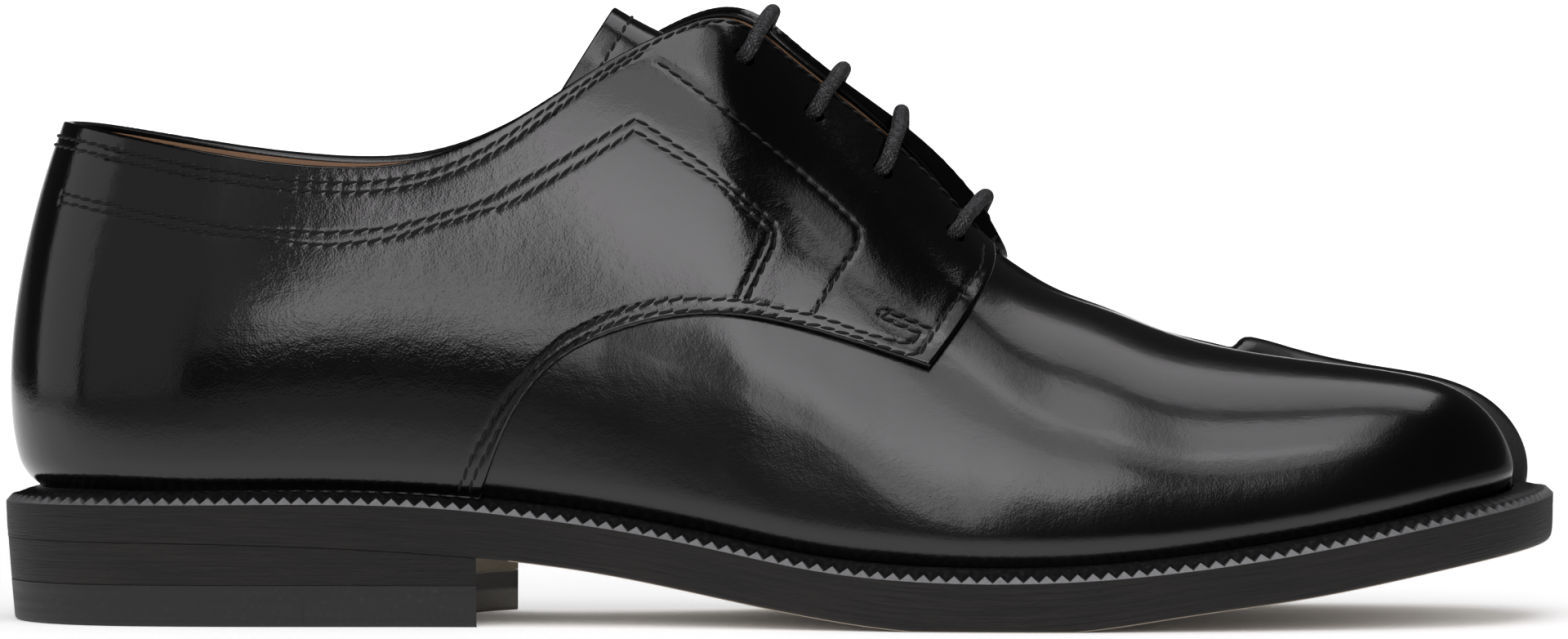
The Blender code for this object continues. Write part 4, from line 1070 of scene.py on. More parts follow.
def make_quarter(node, side):
    quarter = QUARTERS[side]
    forward, up = quarter_grid(quarter)
    flat = quarter.point(forward, up, QUARTER_LIFT)
    rows = quarter_rows(quarter)
    holes = [row_stitches(quarter, row) for row in rows]
    holes[1] = row_stitches(quarter, rows[1], 0.5 * STITCH_PITCH)
    lift = quarter_lift(quarter, flat, rows, holes)
    grid = np.pad(quarter.point(forward, up, lift + quarter.stand(forward, up)), ((1, 1), (1, 1), (0, 0)))
    rim = np.pad(quarter.point(forward, up, QUARTER_FOOT_LIFT), ((1, 1), (1, 1), (0, 0)), mode="edge")
    grid[[0, -1]] = rim[[0, -1]]
    grid[:, [0, -1]] = rim[:, [0, -1]]
    faces = grid_faces(*grid.shape[:2], flip=side == MEDIAL)
    piece = mesh_piece(f"{node}_leather", grid, faces, BLACK, QUARTER_WELD)
    punch_eyelets(piece, side)
    dress(piece, "upper_leather", node)
    make_stitches(f"{node}_stitches", holes)


def eyelet(side, number):
    """The section and share of an eyelet, counted from the top."""
    along, inset = EYELETS[number]
    if side == MEDIAL:
        along += MEDIAL_EYELET_SHIFT
    return along, share_below_edge(side, along, inset)


EYELET_RADIUS = 2.15
EYELET_WALL = 1.5
# How far from an eyelet's middle faces are taken out and the rim is looked for, in radii
EYELET_CUT = 1.05
EYELET_RIM = 2.0


def punch_eyelets(piece, side):
    """Round holes: faces inside are taken out and the rim is drawn to a circle and turned down."""
    radius = EYELET_RADIUS * MM
    with edited(piece.data) as bm:
        for number in range(len(EYELETS)):
            along, share = eyelet(side, number)
            centre = Vector(QUARTERS[side].over(along, share, QUARTER_LIFT) * STRETCH * MM)
            axis = Vector(skin_normal(outer_skin, side, along, share)).normalized()
            inside = [vert for vert in bm.verts if (vert.co - centre).length < radius * EYELET_CUT]
            bmesh.ops.delete(bm, geom=inside, context="VERTS")
            rim = [edge for edge in bm.edges if edge.is_boundary
                   and (edge.verts[0].co - centre).length < radius * EYELET_RIM]
            for vert in {vert for edge in rim for vert in edge.verts}:
                across = vert.co - centre
                height = across.dot(axis)
                across -= axis * height
                vert.co = centre + across.normalized() * radius + axis * min(height, 0.0)
            grown = bmesh.ops.extrude_edge_only(bm, edges=rim)["geom"]
            for edge in rim:
                edge.smooth = False
            for vert in (item for item in grown if isinstance(item, bmesh.types.BMVert)):
                vert.co -= axis * (EYELET_WALL * MM)


STITCH_SIDES = 6
STITCH_RINGS = 6
# How far a stitch's ends dip and how thick they are, in radii, and how soon it is full
STITCH_DIP = 0.75
STITCH_END = 0.55
STITCH_SWELL = 0.6
SHORTEST_STITCH = 0.5


def stitch_tubes(starts, ends, normals):
    """Short threads from hole to hole, each an arc that dips into the leather at its ends."""
    share = np.linspace(0.0, 1.0, STITCH_RINGS)
    arch = np.sin(math.pi * share)
    across = np.cross(normals, unit(ends - starts))
    slant = STITCH_SLANT * (2.0 * share - 1.0)
    height = STITCH_RADIUS * (arch - STITCH_DIP)
    core = (starts[:, None] + (ends - starts)[:, None] * share[None, :, None]
            + across[:, None] * slant[None, :, None] + normals[:, None] * height[None, :, None])
    angle = np.linspace(0.0, 2.0 * math.pi, STITCH_SIDES, endpoint=False)
    size = STITCH_RADIUS * (STITCH_END + (1.0 - STITCH_END) * arch ** STITCH_SWELL)
    ring = (across[:, None, None] * np.cos(angle)[None, None, :, None]
            + normals[:, None, None] * np.sin(angle)[None, None, :, None])
    verts = core[:, :, None] + ring * size[None, :, None, None]
    body = grid_faces(STITCH_RINGS, STITCH_SIDES, wrap=True).tolist()
    per = STITCH_RINGS * STITCH_SIDES
    one = body + [list(range(STITCH_SIDES)), list(range(per - 1, per - 1 - STITCH_SIDES, -1))]
    faces = [[index + k * per for index in face] for k in range(len(starts)) for face in one]
    return verts, faces


def make_stitches(name, holes):
    """Threads along rows of holes, given as places and outward directions."""
    starts = np.vstack([places[:-1] for places, _ in holes])
    ends = np.vstack([places[1:] for places, _ in holes])
    normals = np.vstack([outward[:-1] for _, outward in holes])
    kept = np.linalg.norm(ends - starts, axis=1) > SHORTEST_STITCH
    verts, faces = stitch_tubes(starts[kept], ends[kept], normals[kept])
    dress(mesh_piece(name, verts, faces, THREAD), "upper_leather")


# Vamp and lining

VAMP_SPANS = ((0.0, 90.0, 30), (90.0, THROAT_ALONG, 90), (THROAT_ALONG, 247.0, 40),
              (247.0, 283.0, 60), (283.0, TIP_ALONG, 60))
VAMP_ROWS = 60
CLEFT_ROWS = 34
LINING_ROWS = 36
LINING_CLEFT_ROWS = 14
WELD = 0.02
VAMP_SKIN = 0.9
LINING_LIFT = -0.95
LINING_SKIN = 0.5
LINING_TRIM = 0.012
TRIM_START = 130.0
TRIM_RAMP = 20.0
LINING_SPANS = ((0.0, THROAT_ALONG, 90), (THROAT_ALONG, 262.0, 24))
# Where the cleft's walls turn matte and are fully so, on the way along and from the crest down
MATTE_ALONG = (253.0, 262.0)
MATTE_SHARE = (0.10, 0.30)
# The rolled lip where the cleft begins on the big-toe side: the vamp dips in front of it, and the
# lip's round nose stands up behind the dip. Columns: x, height
LIP_LINE = (
    (66.0, 0.0), (76.0, -0.2), (82.0, -1.0), (87.0, -1.9), (88.3, -1.7), (89.3, -0.5), (90.4, 0.4),
    (92.0, 0.7), (95.0, 0.6), (100.0, 0.3), (108.0, 0.1), (116.0, 0.0),
)
# A soft roll along the outer side of the vamp
# Columns: x, height of the crest, how far it stands out
VAMP_ROLL = (
    (-34.0, 55.0, 0.0), (-24.5, 53.5, 0.28), (-12.0, 50.0, 0.52), (-6.0, 48.0, 0.75),
    (0.5, 45.5, 0.90), (7.0, 42.5, 0.95), (13.0, 38.5, 0.75), (20.0, 33.0, 0.45), (34.0, 27.0, 0.0),
)
ROLL_WIDTH = 9.5
LIP_OUTER_SHARE = 0.72
LIP_INNER_SHARE = 0.85


def stations(spans):
    """Places along the shoe from rows of start, end and number of steps."""
    places = [spans[0][0]]
    for start, end, count in spans:
        places += list(np.linspace(start, end, count + 1)[1:])
    return np.array(places)


def lip_lift(places, share, crest_first):
    """The lip's height at places on the big-toe side, most at the crest between its two skins."""
    x, height = np.array(LIP_LINE).T
    ends = (LIP_INNER_SHARE, 0.0) if crest_first else (LIP_OUTER_SHARE, 1.0)
    return np.interp(places[..., 0], x, height) * eased(share, *ends)


def vamp_roll(places):
    """How far the roll on the outer side raises the vamp at each place."""
    x, crest, size = np.array(VAMP_ROLL).T
    from_crest = places[..., 2] - np.interp(places[..., 0], x, crest)
    return dent(from_crest, np.interp(places[..., 0], x, size), ROLL_WIDTH)


def skin_grids(spans, outer_rows, inner_rows, lift, trim=0.0):
    """The upper's four skins: the side of each, its grid of points and how matte each point is."""
    places = stations(spans)
    front = places[places >= THROAT_ALONG - 1e-6]
    grids = []
    for side in (LATERAL, MEDIAL):
        for surface, run, rows in ((outer_skin, places, outer_rows), (inner_skin, front, inner_rows)):
            along, share = np.meshgrid(run, np.linspace(0.0, 1.0, rows), indexing="ij")
            matte = np.zeros_like(along)
            raised = np.full_like(along, lift)
            if surface is inner_skin:
                matte = ramp(along, *MATTE_ALONG) * ramp(share, *MATTE_SHARE)
            else:
                from_seam = along - (TRIM_START if side == LATERAL else 0.0)
                share = share * (1.0 - trim * ramp(from_seam, 0.0, TRIM_RAMP))
                flat = surface(side, along, share)
                raised = lift - tuck(flat) + (vamp_roll(flat) if side == LATERAL else 0.0)
            grid = lifted(surface, side, along, share, raised)
            if side == MEDIAL:
                grid[..., 2] += lip_lift(grid, share, surface is inner_skin)
            if places[-1] >= TIP_ALONG - 1e-6:
                grid[-1] = surface(side, np.full_like(along[-1], TIP_ALONG), share[-1] * 0.0)
            grids.append((side, grid, matte))
    return grids


def join_grids(grids):
    """One list of points, of faces and of matte values from several grids."""
    faces = []
    start = 0
    for side, grid, matte in grids:
        faces.append(grid_faces(*grid.shape[:2], flip=side == MEDIAL, start=start))
        start += matte.size
    verts = [grid.reshape(-1, 3) for _, grid, _ in grids]
    return np.vstack(verts), np.vstack(faces), np.concatenate([matte.ravel() for *_, matte in grids])


def wall(piece, thickness):
    """Give a skin its thickness, inwards."""
    modifier = piece.modifiers.new("wall", "SOLIDIFY")
    modifier.thickness = thickness * MM
    modifier.offset = -1.0


def make_vamp():
    verts, faces, matte = join_grids(skin_grids(VAMP_SPANS, VAMP_ROWS, CLEFT_ROWS, 0.0))
    piece = mesh_piece("vamp", verts, faces, VAMP_BLACK, WELD, matte=matte)
    wall(piece, VAMP_SKIN)
    dress(piece, "upper_leather", "upper")


def make_lining():
    grids = skin_grids(LINING_SPANS, LINING_ROWS, LINING_CLEFT_ROWS, LINING_LIFT, LINING_TRIM)
    verts, faces, _ = join_grids(grids)
    piece = mesh_piece("lining", verts, faces, TAN, WELD)
    wall(piece, LINING_SKIN)
    dress(piece, "tan_leather", "upper")


# Tongue

TONGUE_SECTIONS = 110
TONGUE_ACROSS = 70
TONGUE_WIDER = 0.14
TONGUE_TRIM = 0.002
TONGUE_ROUNDING = 0.45
# The stitch row's ends on the tongue, as places along it
TONGUE_ROW_PLACE = 0.38
TONGUE_ROW_END = 4.2
TONGUE_SIDE_SAMPLES = 90
TONGUE_TOP_SAMPLES = 60


def tongue_surface(place, across):
    """The tongue's upper face: place counts the table's rows, across runs from -1 to 1."""
    x, y, z, half_width, fall, roll = np.moveaxis(TONGUE_LINE(place), -1, 0)
    across = across * (1.0 + TONGUE_WIDER * ramp(place, 2.0, 0.0))
    ahead = TONGUE_LINE(place + SLOPE_STEP) - TONGUE_LINE(place - SLOPE_STEP)
    ahead = unit(ahead[..., (0, 2)])
    sink = fall * np.abs(across) ** TONGUE_BEND - roll * half_width * across
    return points(x + ahead[..., 1] * sink, y + half_width * across, z - ahead[..., 0] * sink)


def tongue_normal(place, across):
    ahead = tongue_surface(place + SLOPE_STEP, across) - tongue_surface(place - SLOPE_STEP, across)
    sideways = tongue_surface(place, across + SLOPE_STEP) - tongue_surface(place, across - SLOPE_STEP)
    return unit(np.cross(ahead, sideways))


def tongue_rows():
    """The stitch row along the tongue's sides and top, as lines of place and across."""
    down = np.linspace(TONGUE_ROW_END, TONGUE_ROW_PLACE, TONGUE_SIDE_SAMPLES)
    over = np.linspace(-1.0, 1.0, TONGUE_TOP_SAMPLES)
    return (np.stack((down, np.full_like(down, -1.0)), axis=1),
            np.stack((np.full_like(over, TONGUE_ROW_PLACE), over), axis=1),
            np.stack((down[::-1], np.full_like(down, 1.0)), axis=1))


def make_tongue():
    last = len(TONGUE) - 1.0
    place, across = np.meshgrid(np.linspace(TONGUE_TRIM, last - TONGUE_TRIM, TONGUE_SECTIONS),
                                np.linspace(-1.0, 1.0, TONGUE_ACROSS), indexing="ij")
    flat = tongue_surface(place, across)
    holes = []
    lines = []
    for row in tongue_rows():
        path = tongue_surface(*row.T)
        spot = spaced(path, steps_along(path, STITCH_PITCH), row)
        lines.append(resampled(path, GROOVE_STEP))
        holes.append((tongue_surface(*spot.T), tongue_normal(*spot.T)))
    sink = dent(nearest_distance(flat, np.vstack(lines)), GROOVE_DEPTH, GROOVE_WIDTH)
    grid = flat - tongue_normal(place, across) * sink[..., None]
    piece = mesh_piece("tongue_leather", grid, grid_faces(*grid.shape[:2]), BLACK)
    wall(piece, TONGUE_WALL)
    rounding = piece.modifiers.new("rounding", "BEVEL")
    rounding.width = TONGUE_ROUNDING * MM
    rounding.segments = 3
    rounding.limit_method = "ANGLE"
    dress(piece, "upper_leather", "tongue")
    make_stitches("tongue_stitches", holes)


# Sole

def outline_curve():
    """The sole's outline as a closed spline of the share of the way round."""
    ring = np.array(OUTLINE)
    wrap = 4
    rows = np.vstack((ring[-wrap:], ring, ring[:wrap + 1]))
    run = run_along(rows)
    start = run[wrap]
    length = run[wrap + len(ring)] - start
    return spline((run - start) / length, rows), length


OUTLINE_AT, OUTLINE_LENGTH = outline_curve()
OUTLINE_STEP = 1e-4


def outline_points(shares, inset):
    """Points on the outline, moved in by an inset."""
    ahead = unit(OUTLINE_AT(shares + OUTLINE_STEP) - OUTLINE_AT(shares - OUTLINE_STEP))
    inward = np.stack((-ahead[:, 1], ahead[:, 0]), axis=1)
    return OUTLINE_AT(shares) + np.broadcast_to(inset, np.shape(shares))[:, None] * inward


def even_shares(count):
    """Shares evenly spaced by distance round the outline, starting at the heel back."""
    fine = np.linspace(0.0, 1.0, OUTLINE_SAMPLES)
    run = run_along(OUTLINE_AT(fine))
    return np.interp(np.arange(count) / count * run[-1], run, fine)


def ring(shares, inset, height):
    """A ring of points on the outline, moved in by inset, at the height that x gives."""
    flat = outline_points(shares, inset)
    return points(flat[:, 0], flat[:, 1], height(flat[:, 0]))


def above(level, up):
    """A height that lies above a level, each as a function of x."""
    return lambda x: level(x) + up


def cap_faces(count, start, flip):
    """Strips from side to side that close a ring which starts at the heel back."""
    faces = []
    for k in range(count // 2):
        corners = [k, k + 1, (count - k - 1) % count, (count - k) % count]
        corners = [start + c for c in dict.fromkeys(corners)]
        faces.append(corners[::-1] if flip else corners)
    return faces


NOTCH_PITCH = 2.9
NOTCH_HEIGHT = 1.3
NOTCH_STEPS = 10
NOTCH_LEAN = 1.15
TOOTH_INSET = 0.08
WELT_SHARP = 24.0
# The welt's plain edge. Columns: inset, height over the outsole
WELT_EDGE = ((WELT_WIDTH, MEET_GAP), (0.06, 0.01), (0.04, 0.3))
# The foot of the teeth. Columns: inset, height over the bottom of the notches
TOOTH_FOOT = ((0.0, -0.12), (0.03, -0.06))
# The welt's top behind the teeth. Columns: inset, share of the notch depth kept, rise
WELT_TOP_LINE = ((1.9, 0.9, 0.05), (3.0, 0.55, 0.45), (4.4, 0.2, 1.0), (6.0, 0.0, 1.4),
                 (WELT_WIDTH, 0.0, 1.4))


def make_welt():
    """A ring whose outer edge is a row of leaning teeth, with notches that run inwards."""
    count = int(round(OUTLINE_LENGTH / NOTCH_PITCH)) * NOTCH_STEPS
    shares = even_shares(count)
    phase = (np.arange(count) % NOTCH_STEPS) / NOTCH_STEPS
    tooth = 1.0 - np.abs(2.0 * phase - 1.0)
    cut = NOTCH_HEIGHT * (1.0 - tooth)
    rings = [ring(shares, inset, above(outsole_top, up)) for inset, up in WELT_EDGE]
    rings += [ring(shares, inset, above(welt_top, up - NOTCH_HEIGHT)) for inset, up in TOOTH_FOOT]
    rings.append(ring(shares, TOOTH_INSET + NOTCH_LEAN * tooth, above(welt_top, -cut)))
    # The leaning tooth faces, which the welt's finish paints with a highlight
    facet = np.zeros(len(rings) + len(WELT_TOP_LINE))
    facet[len(rings) - 2:len(rings)] = 1.0
    for inset, kept, rise in WELT_TOP_LINE:
        rings.append(ring(shares, inset, above(welt_top, rise - cut * kept)))
    faces = grid_faces(len(rings), count, flip=True, wrap=True, close=True)
    piece = mesh_piece("welt_notched", rings, faces, WELT, facet=np.repeat(facet, count),
                       level=level_over_sole(rings))
    piece.data.materials.append(EDGE)
    for face in piece.data.polygons[:len(WELT_EDGE) * count]:
        face.material_index = 1
    sharp_edges(piece, WELT_SHARP)
    dress(piece, "sole_edge", "welt")


def level_over_sole(rings):
    """Height of each point over the sole's lower face, in metres, for layers that follow the sole."""
    flat = np.reshape(rings, (-1, 3))
    return (flat[:, 2] - SOLE_SIDE(flat[:, 0])[:, 0]) * MM


SOLE_STATIONS = 640
SOLE_SHARP = 40.0
# The outsole's edge from its lower face up. Columns: inset from the outline, height
OUTSOLE_EDGE = ((2.4, 0.05), (1.15, 0.05), (0.7, 0.22), (0.4, 0.7), (0.22, 1.6), (0.12, 3.0),
                (0.08, 5.0))
# Its upper end. Columns: inset from the outline, height over the outsole's top
OUTSOLE_TOP_EDGE = ((0.07, -0.2), (0.06, 0.0))
HEEL_SEAT_INSET = 0.3
UNDERSIDE_INSET = 1.0
UNDER_HEEL_INSET = 5.0
# The underside's edge. Columns: inset, height
UNDERSIDE_EDGE = ((0.0, 0.0), (-0.35, 0.3))


def sole_faces(rings):
    """Faces between rings round the outline, with the lowest ring closed."""
    faces = grid_faces(len(rings), SOLE_STATIONS, wrap=True, flip=True).tolist()
    return faces + cap_faces(SOLE_STATIONS, 0, True)


def make_outsole():
    shares = even_shares(SOLE_STATIONS)
    over_heel = OUTLINE_AT(shares)[:, 0] < BREAST_LATERAL
    rings = []
    for inset, up in OUTSOLE_EDGE:
        kept = np.where(over_heel, min(inset, HEEL_SEAT_INSET), inset)
        rings.append(ring(shares, kept, above(sole_low, up)))
    rings += [ring(shares, inset, above(outsole_top, up)) for inset, up in OUTSOLE_TOP_EDGE]
    faces = sole_faces(rings) + cap_faces(SOLE_STATIONS, (len(rings) - 1) * SOLE_STATIONS, False)
    piece = mesh_piece("outsole_edge", rings, faces, EDGE, level=level_over_sole(rings))
    sharp_edges(piece, SOLE_SHARP)
    dress(piece, "sole_edge", "outsole")


def make_underside():
    shares = even_shares(SOLE_STATIONS)
    behind = OUTLINE_AT(shares)[:, 0] < BREAST_MEDIAL
    middle = np.where(behind, UNDER_HEEL_INSET, UNDERSIDE_INSET)
    rings = [ring(shares, middle + inset, above(sole_low, up)) for inset, up in UNDERSIDE_EDGE]
    piece = mesh_piece("sole_underside", rings, sole_faces(rings), RAW_SOLE)
    sharp_edges(piece, SOLE_SHARP)
    dress(piece, "tan_leather", "outsole")


HEEL_SHARP = 38.0
# The share of the outline, from the heel back, within which a side of the heel ends
HEEL_REACH = 0.4
HEEL_STATIONS = 260
BREAST_STATIONS = 48
BREAST_STRIPS = 20


def heel_shares():
    """Shares round the heel, from the outer breast corner back to the inner one."""
    ends = []
    for breast, start, end in ((BREAST_LATERAL, 0.0, HEEL_REACH), (BREAST_MEDIAL, 1.0, 1.0 - HEEL_REACH)):
        shares = np.linspace(start, end, HEEL_SAMPLES)
        ends.append(np.interp(breast, OUTLINE_AT(shares)[:, 0], shares))
    return np.linspace(ends[0], ends[1] - 1.0, HEEL_STATIONS)


def breast_points(inner, outer):
    """The hollow front of the heel, between its inner and its outer corner."""
    way = np.linspace(0.0, 1.0, BREAST_STATIONS + 2)[1:-1]
    line = inner + (outer - inner) * way[:, None]
    line[:, 0] -= BREAST_HOLLOW * (1.0 - (2.0 * way - 1.0) ** BREAST_POWER)
    return line


def heel_ring(inset, height):
    """The sides and back of the heel, then its front, at one level."""
    flat = outline_points(heel_shares() % 1.0, inset)
    flat = np.vstack((flat, breast_points(flat[-1], flat[0])))
    return points(flat[:, 0], flat[:, 1], height(flat[:, 0]))


def heel_piece(name, rings, material, slot, node):
    """A closed piece of the heel from its rings, with the front in its own finish."""
    places = np.reshape(rings, (-1, 3))
    count = len(rings[0])
    last = HEEL_STATIONS - 1
    faces = grid_faces(len(rings), count, wrap=True, flip=True).tolist()
    sides = len(faces)
    for start in (0, (len(rings) - 1) * count):
        for k in range(BREAST_STRIPS, HEEL_STATIONS // 2 - 1):
            faces.append([start + k, start + k + 1, start + last - k - 1, start + last - k])
        rim = [*range(BREAST_STRIPS + 1), *range(last - BREAST_STRIPS, count)]
        faces.append([start + corner for corner in rim])
    piece = mesh_piece(name, places, faces, material, level=places[:, 2] * MM)
    with edited(piece.data) as bm:
        bmesh.ops.recalc_face_normals(bm, faces=bm.faces)
    sharp_edges(piece, HEEL_SHARP)
    piece.data.materials.append(BREAST)
    for index, face in enumerate(piece.data.polygons[:sides]):
        if index % count >= last:
            face.material_index = 1
    dress(piece, slot, node)


def level(height):
    return lambda x: np.full_like(x, height)


def between_lift_and_sole(share):
    """The height at a share of the way from the top lift up to the sole."""
    return lambda x: TOP_LIFT_HEIGHT + (sole_low(x) - TOP_LIFT_HEIGHT) * share


SEAM_DEPTH = 0.1
HEEL_MIDDLE_SHARES = (0.35, 0.65)
# The top lift's edge from the floor up. Columns: inset beyond the heel's own, height
LIFT_EDGE = ((1.0, 0.0), (0.42, 0.12), (0.1, 0.45), (0.0, 1.0))
# The seam between top lift and stack, and the one under the sole. Columns: inset, height
LIFT_SEAM_BELOW = ((0.0, -0.12), (SEAM_DEPTH, -0.02))
LIFT_SEAM_ABOVE = ((SEAM_DEPTH, 0.02), (0.0, 0.2))
SOLE_SEAM = ((0.0, -0.12), (SEAM_DEPTH, 0.02))


def make_heel():
    middle = 0.5 * (HEEL_INSET_TOP + HEEL_INSET_FLOOR)
    stack = [heel_ring(middle + inset, level(TOP_LIFT_HEIGHT + up)) for inset, up in LIFT_SEAM_ABOVE]
    stack += [heel_ring(middle + (HEEL_INSET_TOP - middle) * share, between_lift_and_sole(share))
              for share in HEEL_MIDDLE_SHARES]
    stack += [heel_ring(HEEL_INSET_TOP + inset, above(sole_low, up)) for inset, up in SOLE_SEAM]
    heel_piece("heel_lifts", stack, EDGE, "sole_edge", "heel_stack")
    lift = [heel_ring(HEEL_INSET_FLOOR + inset, level(up)) for inset, up in LIFT_EDGE]
    lift += [heel_ring(middle + inset, level(TOP_LIFT_HEIGHT + up)) for inset, up in LIFT_SEAM_BELOW]
    heel_piece("heel_top_lift", lift, LIFT, "top_lift", "top_lift")


# Laces

LACE_ROUND = 3.0
LACE_AROUND = 60
LACE_STEP = 0.17
BRAID_STRANDS = 10
BRAID_PITCH = 9.0
BRAID_DEPTH = 0.17
LACE_SAMPLES = 400
LACE_SIDEWAYS = (1.0, 0.0, 0.35)


def lace_route(number):
    """Out of the outer eyelet, over both facing edges, and into the inner eyelet."""
    lie = OVERLAY_GAP + QUARTER_WALL + MEET_GAP + 0.5 * LACE_DIAMETER
    halves = []
    for side in (LATERAL, MEDIAL):
        along, share = eyelet(side, number)
        lean = LACE_LEANS[side][number]
        halves.append([QUARTERS[side].over(along + lean * way, share + (1.0 - share) * way, lie + lift)
                       for way, lift in LACE_WAY])
    middle = 0.5 * (halves[0][-1] + halves[1][-1]) + np.array((0.0, 0.0, LACE_CROWN))
    return np.array(halves[0] + [middle] + halves[1][::-1])


def make_lace(number):
    """A braided tube along the lace's route."""
    route = lace_route(number)
    run = run_along(route)
    path = resampled(spline(run, route)(np.linspace(0.0, run[-1], LACE_SAMPLES)), LACE_STEP)
    ahead = unit(np.gradient(path, axis=0))
    across = unit(np.cross(ahead, LACE_SIDEWAYS))
    third = np.cross(ahead, across)
    angle = np.linspace(0.0, 2.0 * math.pi, LACE_AROUND, endpoint=False)[None, :]
    turn = run_along(path)[:, None] / BRAID_PITCH
    left = np.sin(math.pi * BRAID_STRANDS * (angle / (2.0 * math.pi) + turn))
    right = np.sin(math.pi * BRAID_STRANDS * (angle / (2.0 * math.pi) - turn))
    strand = np.where(left * right > 0.0, np.abs(left), np.abs(right))
    radius = 0.5 * LACE_ROUND + 2.0 * BRAID_DEPTH * (strand - 1.0)
    verts = (path[:, None] + across[:, None] * (np.cos(angle) * radius)[..., None]
             + third[:, None] * (np.sin(angle) * radius)[..., None])
    rows = len(path)
    faces = grid_faces(rows, LACE_AROUND, wrap=True).tolist()
    faces.append(list(range(LACE_AROUND)))
    faces.append(list(range(rows * LACE_AROUND - 1, (rows - 1) * LACE_AROUND - 1, -1)))
    piece = mesh_piece(f"lace_{number + 1}", verts, faces, CORD, strand=strand)
    dress(piece, "lace", f"lace_bar_{number + 1}")


# Stage

LIGHT_TINT = (1.0, 0.975, 1.0)


def area_light(name, place, aim, up, width, height, radiance):
    """A soft box at a place, facing an aim, whose height runs along up."""
    data = bpy.data.lights.new(name, "AREA")
    data.shape = "RECTANGLE"
    data.size = width
    data.size_y = height
    data.energy = radiance * math.pi * width * height
    data.color = LIGHT_TINT
    light = new_object(name, data)
    back = (Vector(place) - Vector(aim)).normalized()
    side = Vector(up).cross(back).normalized()
    turn = Matrix((side, back.cross(side), back)).transposed()
    light.matrix_world = Matrix.Translation(place) @ turn.to_4x4()
    light.visible_camera = False


FLOOR_FRONT = -3.2
FLOOR_BACK = 2.2
FLOOR_WIDTH = 4.0
SWEEP_RADIUS = 0.3
SWEEP_STEPS = 24
WALL_HEIGHT = 0.42


def make_stage():
    """A pale floor that sweeps up into a wall behind the shoe."""
    profile = [(FLOOR_FRONT, 0.0), (FLOOR_BACK, 0.0)]
    for k in range(1, SWEEP_STEPS + 1):
        angle = 0.5 * math.pi * k / SWEEP_STEPS
        profile.append((FLOOR_BACK + SWEEP_RADIUS * math.sin(angle),
                        SWEEP_RADIUS * (1.0 - math.cos(angle))))
    profile.append((FLOOR_BACK + SWEEP_RADIUS, WALL_HEIGHT))
    verts = [(x, y, z) for y, z in profile for x in (-FLOOR_WIDTH, FLOOR_WIDTH)]
    faces = [(2 * k, 2 * k + 1, 2 * k + 3, 2 * k + 2) for k in range(len(profile) - 1)]
    mesh = bpy.data.meshes.new("floor")
    mesh.from_pydata(verts, [], faces)
    mesh.materials.append(pale_floor("pale_floor"))
    mesh.shade_smooth()
    floor = new_object("floor", mesh)


# Soft boxes round the shoe, by the directions each fills as seen from the shoe, in degrees: azimuth
# from the camera's side towards the toe, and elevation above the floor
# Columns: name, left and right azimuth, low and high elevation, radiance
FRONT_BOXES = (
    ("high_front", -10.0, 24.0, 46.0, 60.0, 1.9),
    ("high_fade", 24.0, 38.0, 48.0, 62.0, 1.75),
    ("high_end", 38.0, 50.0, 50.0, 60.0, 0.75),
)
# The front soft box's slanting lower part, made as level strips
# Columns: elevation, left azimuth, right azimuth, radiance
FRONT_LINE = (
    (5.7, -12.5, -8.0, 2.2), (9.0, -16.0, -7.5, 3.6), (12.5, -13.0, -5.0, 3.2),
    (17.0, -10.3, -1.5, 3.1), (20.0, -10.3, 1.0, 3.6), (28.5, -10.0, 10.0, 4.1),
    (39.5, -10.0, 22.0, 3.3), (46.0, -10.0, 24.0, 2.9),
)
FRONT_STRIPS = 14
SIDE_BOXES = (
    ("near_card", -21.0, -12.0, 6.0, 44.0, 0.38),
    ("left_card", -62.0, -21.0, -8.0, 40.0, 0.34),
    ("left_box", -104.0, -64.0, -8.0, 34.0, 0.75),
)
FRONT_DISTANCE = 0.95
SIDE_DISTANCE = 2.1
SHOE = (0.0, 0.0, 0.05)
UPRIGHT = (0.0, 0.0, 1.0)
FORWARD = (0.0, 1.0, 0.0)
# Columns: name, place, aim, up, width, height, radiance
TOP_BOXES = (
    ("top_front", (0.09, -0.50, 1.9), (0.09, -0.50, 0.0), FORWARD, 1.08, 0.9, 2.6),
    ("top_fade", (0.76, -0.50, 1.9), (0.76, -0.50, 0.0), FORWARD, 0.26, 0.9, 1.1),
    ("top_rear", (0.60, 0.80, 1.9), (0.60, 0.80, 0.0), FORWARD, 1.1, 1.2, 1.6),
    ("wall_wash", (0.0, 0.9, 2.3), (0.0, 2.8, 1.75), UPRIGHT, 1.8, 1.0, 10.0),
)
ROOM = 0.03


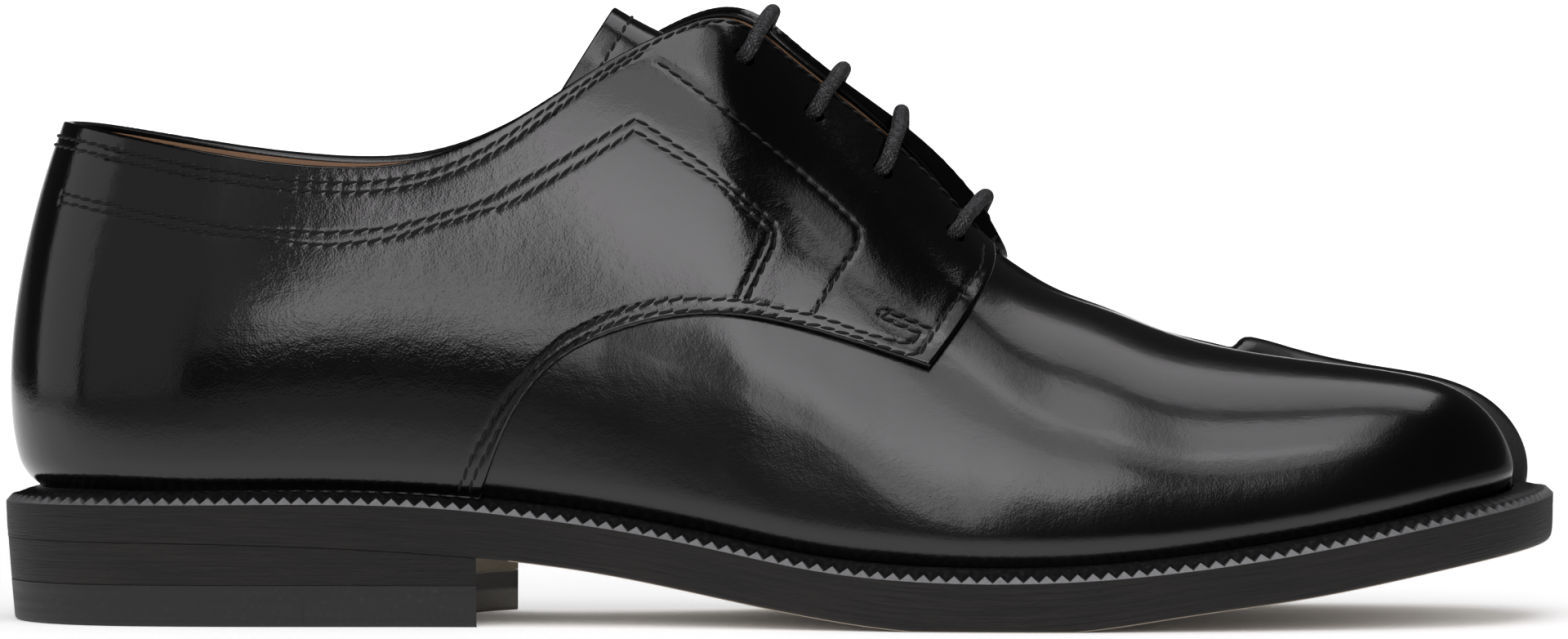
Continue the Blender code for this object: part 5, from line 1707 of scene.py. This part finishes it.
def make_lights():
    world = bpy.data.worlds.new("studio")
    world.use_nodes = True
    world.node_tree.nodes["Background"].inputs["Color"].default_value = (ROOM, ROOM, ROOM, 1.0)
    bpy.context.scene.world = world
    for soft_box in TOP_BOXES:
        area_light(*soft_box)
    for boxes, distance in ((FRONT_BOXES + front_strips(), FRONT_DISTANCE), (SIDE_BOXES, SIDE_DISTANCE)):
        for name, *span, radiance in boxes:
            soft_box_at(name, span, distance, radiance)


def front_strips():
    """The level strips, each as wide and as bright as the slanting part is at its height."""
    heights, *columns = np.array(FRONT_LINE).T
    ends = np.linspace(heights[0], heights[-1], FRONT_STRIPS + 1)
    strips = []
    for number, (low, high) in enumerate(zip(ends[:-1], ends[1:])):
        left, right, radiance = (np.interp(0.5 * (low + high), heights, column) for column in columns)
        strips.append((f"front_strip_{number + 1}", left, right, low, high, radiance))
    return tuple(strips)


def soft_box_at(name, span, distance, radiance):
    """A soft box that fills a span of azimuth and elevation as seen from the shoe."""
    left, right, low, high = (math.radians(angle) for angle in span)
    azimuth = 0.5 * (left + right)
    height = 0.5 * (low + high)
    way = Vector((math.sin(azimuth) * math.cos(height), -math.cos(azimuth) * math.cos(height),
                  math.sin(height)))
    wide = 2.0 * distance * math.tan(0.5 * (right - left)) * math.cos(height)
    tall = 2.0 * distance * math.tan(0.5 * (high - low))
    area_light(name, Vector(SHOE) + way * distance, SHOE, UPRIGHT, wide, tall, radiance)


def make_camera():
    data = bpy.data.cameras.new("camera")
    data.sensor_fit = "HORIZONTAL"
    data.sensor_width = SENSOR_WIDTH
    data.lens = LENS
    camera = new_object("camera", data)
    place = Vector((CAMERA_X, -CAMERA_DISTANCE, CAMERA_HEIGHT)) * MM
    aim = Vector((CAMERA_X, 0.0, CAMERA_AIM_HEIGHT)) * MM
    camera.location = place
    camera.rotation_euler = (aim - place).to_track_quat("-Z", "Y").to_euler()
    bpy.context.scene.camera = camera


def dress_insole():
    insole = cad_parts["insole"]
    insole.data.materials.clear()
    insole.data.materials.append(TAN)


make_camera()
make_stage()
make_lights()
make_vamp()
make_lining()
make_quarter("quarter_lateral", LATERAL)
make_quarter("quarter_medial", MEDIAL)
make_tongue()
make_welt()
make_outsole()
make_underside()
make_heel()
for lace_number in range(len(EYELETS)):
    make_lace(lace_number)
dress_insole()
bpy.context.scene.view_settings.view_transform = "Standard"
